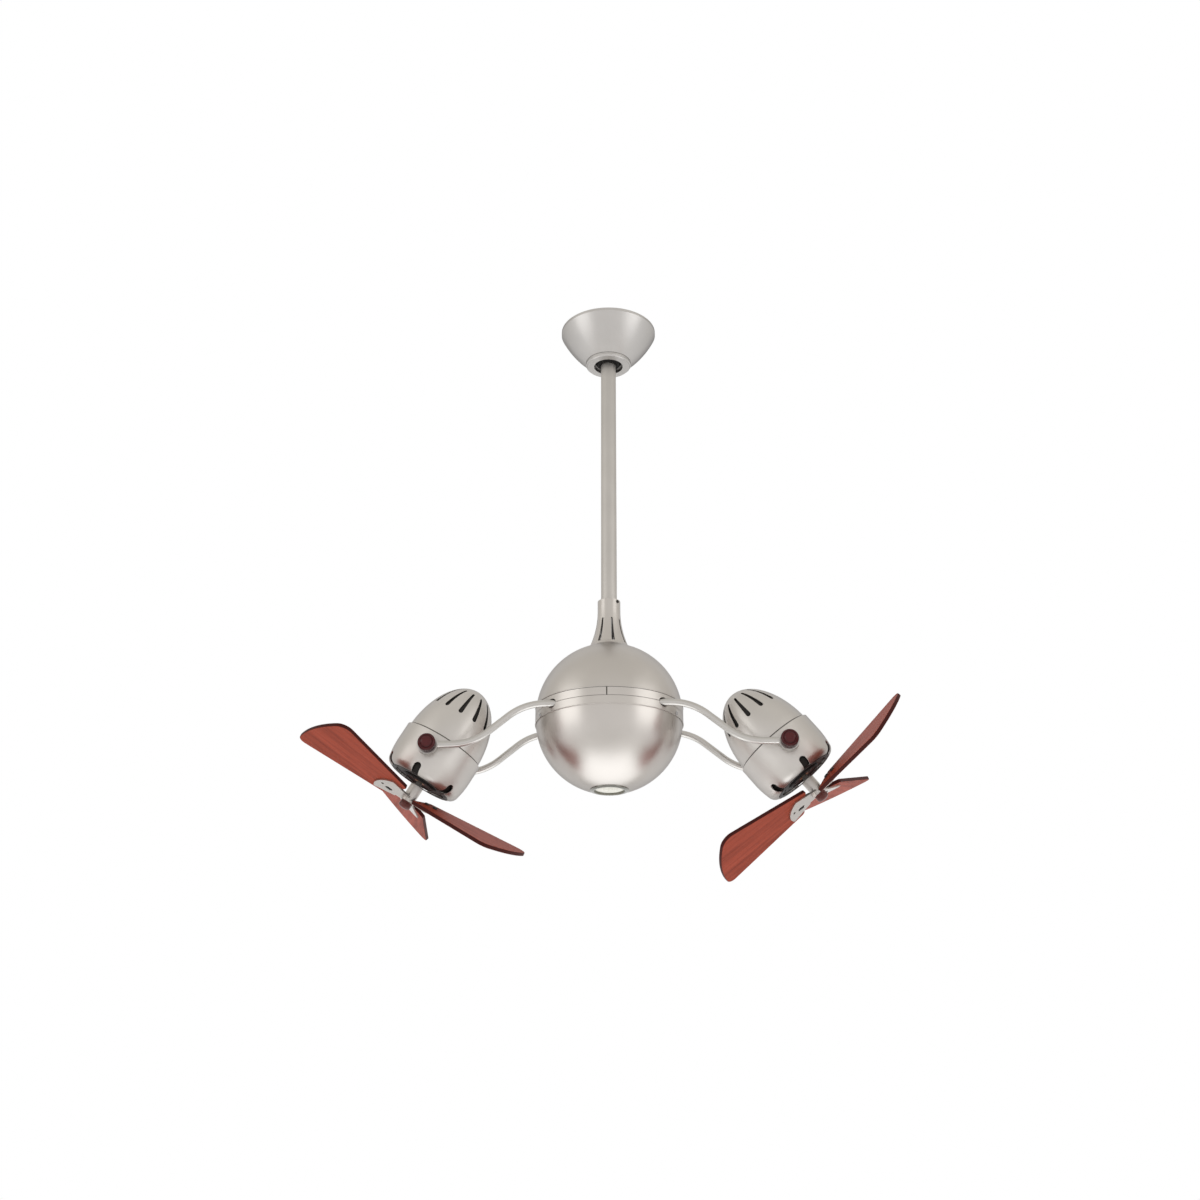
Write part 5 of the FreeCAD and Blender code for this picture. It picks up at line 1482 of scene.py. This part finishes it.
@dataclass
class Studio:
    """Camera, lamps, world and floor."""

    ball: Vector
    distance: float = 2.2777
    drop: float = 0.7306
    turn: float = math.radians(1.858)
    yaw: float = math.radians(2.238)
    pitch: float = math.radians(22.4075)
    lens: float = 43.956
    sensor: float = 36.0
    floor_drop: float = 2.5
    floor_radius: float = 3.4
    floor_fade: float = 0.55
    floor_tone: float = 0.82
    side_box: Vector = Vector((2.3, -1.3, 0.3))
    side_width: float = 1.7
    side_power: float = 8.5
    low_box: Vector = Vector((0.0, 0.2, -1.3))
    low_width: float = 1.6
    low_power: float = 8.0
    horizon: tuple[float, float] = (-0.4, 0.5)
    front_share: tuple[float, float] = (-0.4, -1.0)
    backdrop: tuple[float, float] = (math.cos(math.radians(58)), math.cos(math.radians(36)))
    above: Colour = (0.65, 0.63, 0.59)
    below: Colour = (0.80, 0.795, 0.79)
    cool: Colour = (0.95, 0.975, 1.0)
    front: Colour = (0.80, 0.785, 0.775)

    @property
    def view(self) -> Vector:
        """The direction that the camera looks in."""
        level = math.cos(self.pitch)
        return Vector((-math.sin(self.yaw) * level, math.cos(self.yaw) * level, math.sin(self.pitch)))

    def build(self) -> None:
        """Builds the whole studio."""
        scene = bpy.context.scene
        scene.view_settings.view_transform = "Standard"
        self.build_camera(scene)
        self.build_world(scene)
        self.build_lamps()
        self.build_floor()

    def build_camera(self, scene: bpy.types.Scene) -> None:
        """Stands the camera where the photograph was taken.

        Args:
            scene: the scene that gets it.
        """
        camera = bpy.data.cameras.new("Camera")
        camera.lens = self.lens
        camera.sensor_width = self.sensor
        holder = bpy.data.objects.new("Camera", camera)
        holder.location = self.ball + Vector((
            self.distance * math.sin(self.turn), -self.distance * math.cos(self.turn), -self.drop))
        holder.rotation_euler = self.view.to_track_quat("-Z", "Y").to_euler()
        scene.collection.objects.link(holder)
        scene.camera = holder

    def build_world(self, scene: bpy.types.Scene) -> None:
        """Surrounds the fan with pale grey, warmer above, brighter in front and white behind it.

        Args:
            scene: the scene that gets the world.
        """
        world = bpy.data.worlds.new("Studio")
        world.use_nodes = True
        graph = Graph(world.node_tree)
        background = world.node_tree.nodes["Background"]
        coordinates = graph.add("TexCoord")
        parts = graph.add("SeparateXYZ")
        graph.feed(parts.inputs[0], coordinates.outputs["Generated"])
        away = graph.vector("DOT_PRODUCT", coordinates.outputs["Generated"], tuple(self.view))
        walls = graph.mix(graph.smooth(parts.outputs["Z"], *self.horizon), self.below, self.above)
        walls = graph.mix(graph.smooth(away, *self.front_share), walls, self.front)
        glow = graph.smooth(away, *self.backdrop)
        graph.feed(background.inputs["Color"], graph.mix(glow, walls, (1.0, 1.0, 1.0)))
        background.inputs["Strength"].default_value = 1.0
        scene.world = world

    def build_lamps(self) -> None:
        """Hangs the soft lamps round the fan."""
        mirrored = Vector((-self.side_box.x, self.side_box.y, self.side_box.z))
        for name, spot in (("Left box", mirrored), ("Right box", self.side_box)):
            SoftLamp(name, self.ball + spot, self.ball, self.side_width, self.side_power).build()
        SoftLamp("Low box", self.ball + self.low_box, self.ball, self.low_width, self.low_power,
                 self.cool).build()

    def build_floor(self) -> None:
        """Lays a pale round floor that fades out at its rim."""
        shape = bmesh.new()
        bmesh.ops.create_circle(shape, cap_ends=True, segments=96, radius=self.floor_radius,
                                matrix=Matrix.Translation((0, 0, -self.floor_drop)))
        mesh = bpy.data.meshes.new("Floor")
        shape.to_mesh(mesh)
        shape.free()
        floor = bpy.data.objects.new("Floor", mesh)
        bpy.context.scene.collection.objects.link(floor)
        material = bpy.data.materials.new("Pale floor")
        material.use_nodes = True
        graph = Graph(material.node_tree)
        shader = material.node_tree.nodes["Principled BSDF"]
        shader.inputs["Base Color"].default_value = (self.floor_tone, self.floor_tone, self.floor_tone, 1.0)
        shader.inputs["Roughness"].default_value = 0.9
        reach = graph.vector("LENGTH", graph.add("TexCoord").outputs["Object"])
        fade = graph.smooth(reach, math.hypot(self.floor_drop, self.floor_radius),
                            math.hypot(self.floor_drop, self.floor_radius * self.floor_fade))
        graph.feed(shader.inputs["Alpha"], fade)
        mesh.materials.append(material)


def clear_scene() -> None:
    """Empties the start-up scene."""
    for piece in list(bpy.data.objects):
        bpy.data.objects.remove(piece)


def main() -> None:
    """Dresses the fan, sub-assembly by sub-assembly, and stands it in the studio."""
    logging.basicConfig(level=logging.INFO, format="%(name)s: %(message)s")
    clear_scene()
    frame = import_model()
    model = Model(frame)
    for assembly in (CeilingMount(model), HangingRod(model), TurningBall(model),
                     *(Head(model, side) for side in Side)):
        assembly.build()
        assembly.dress()
    Studio(model.joint_point("carousel_spin")).build()


if __name__ == "__main__":
    main()
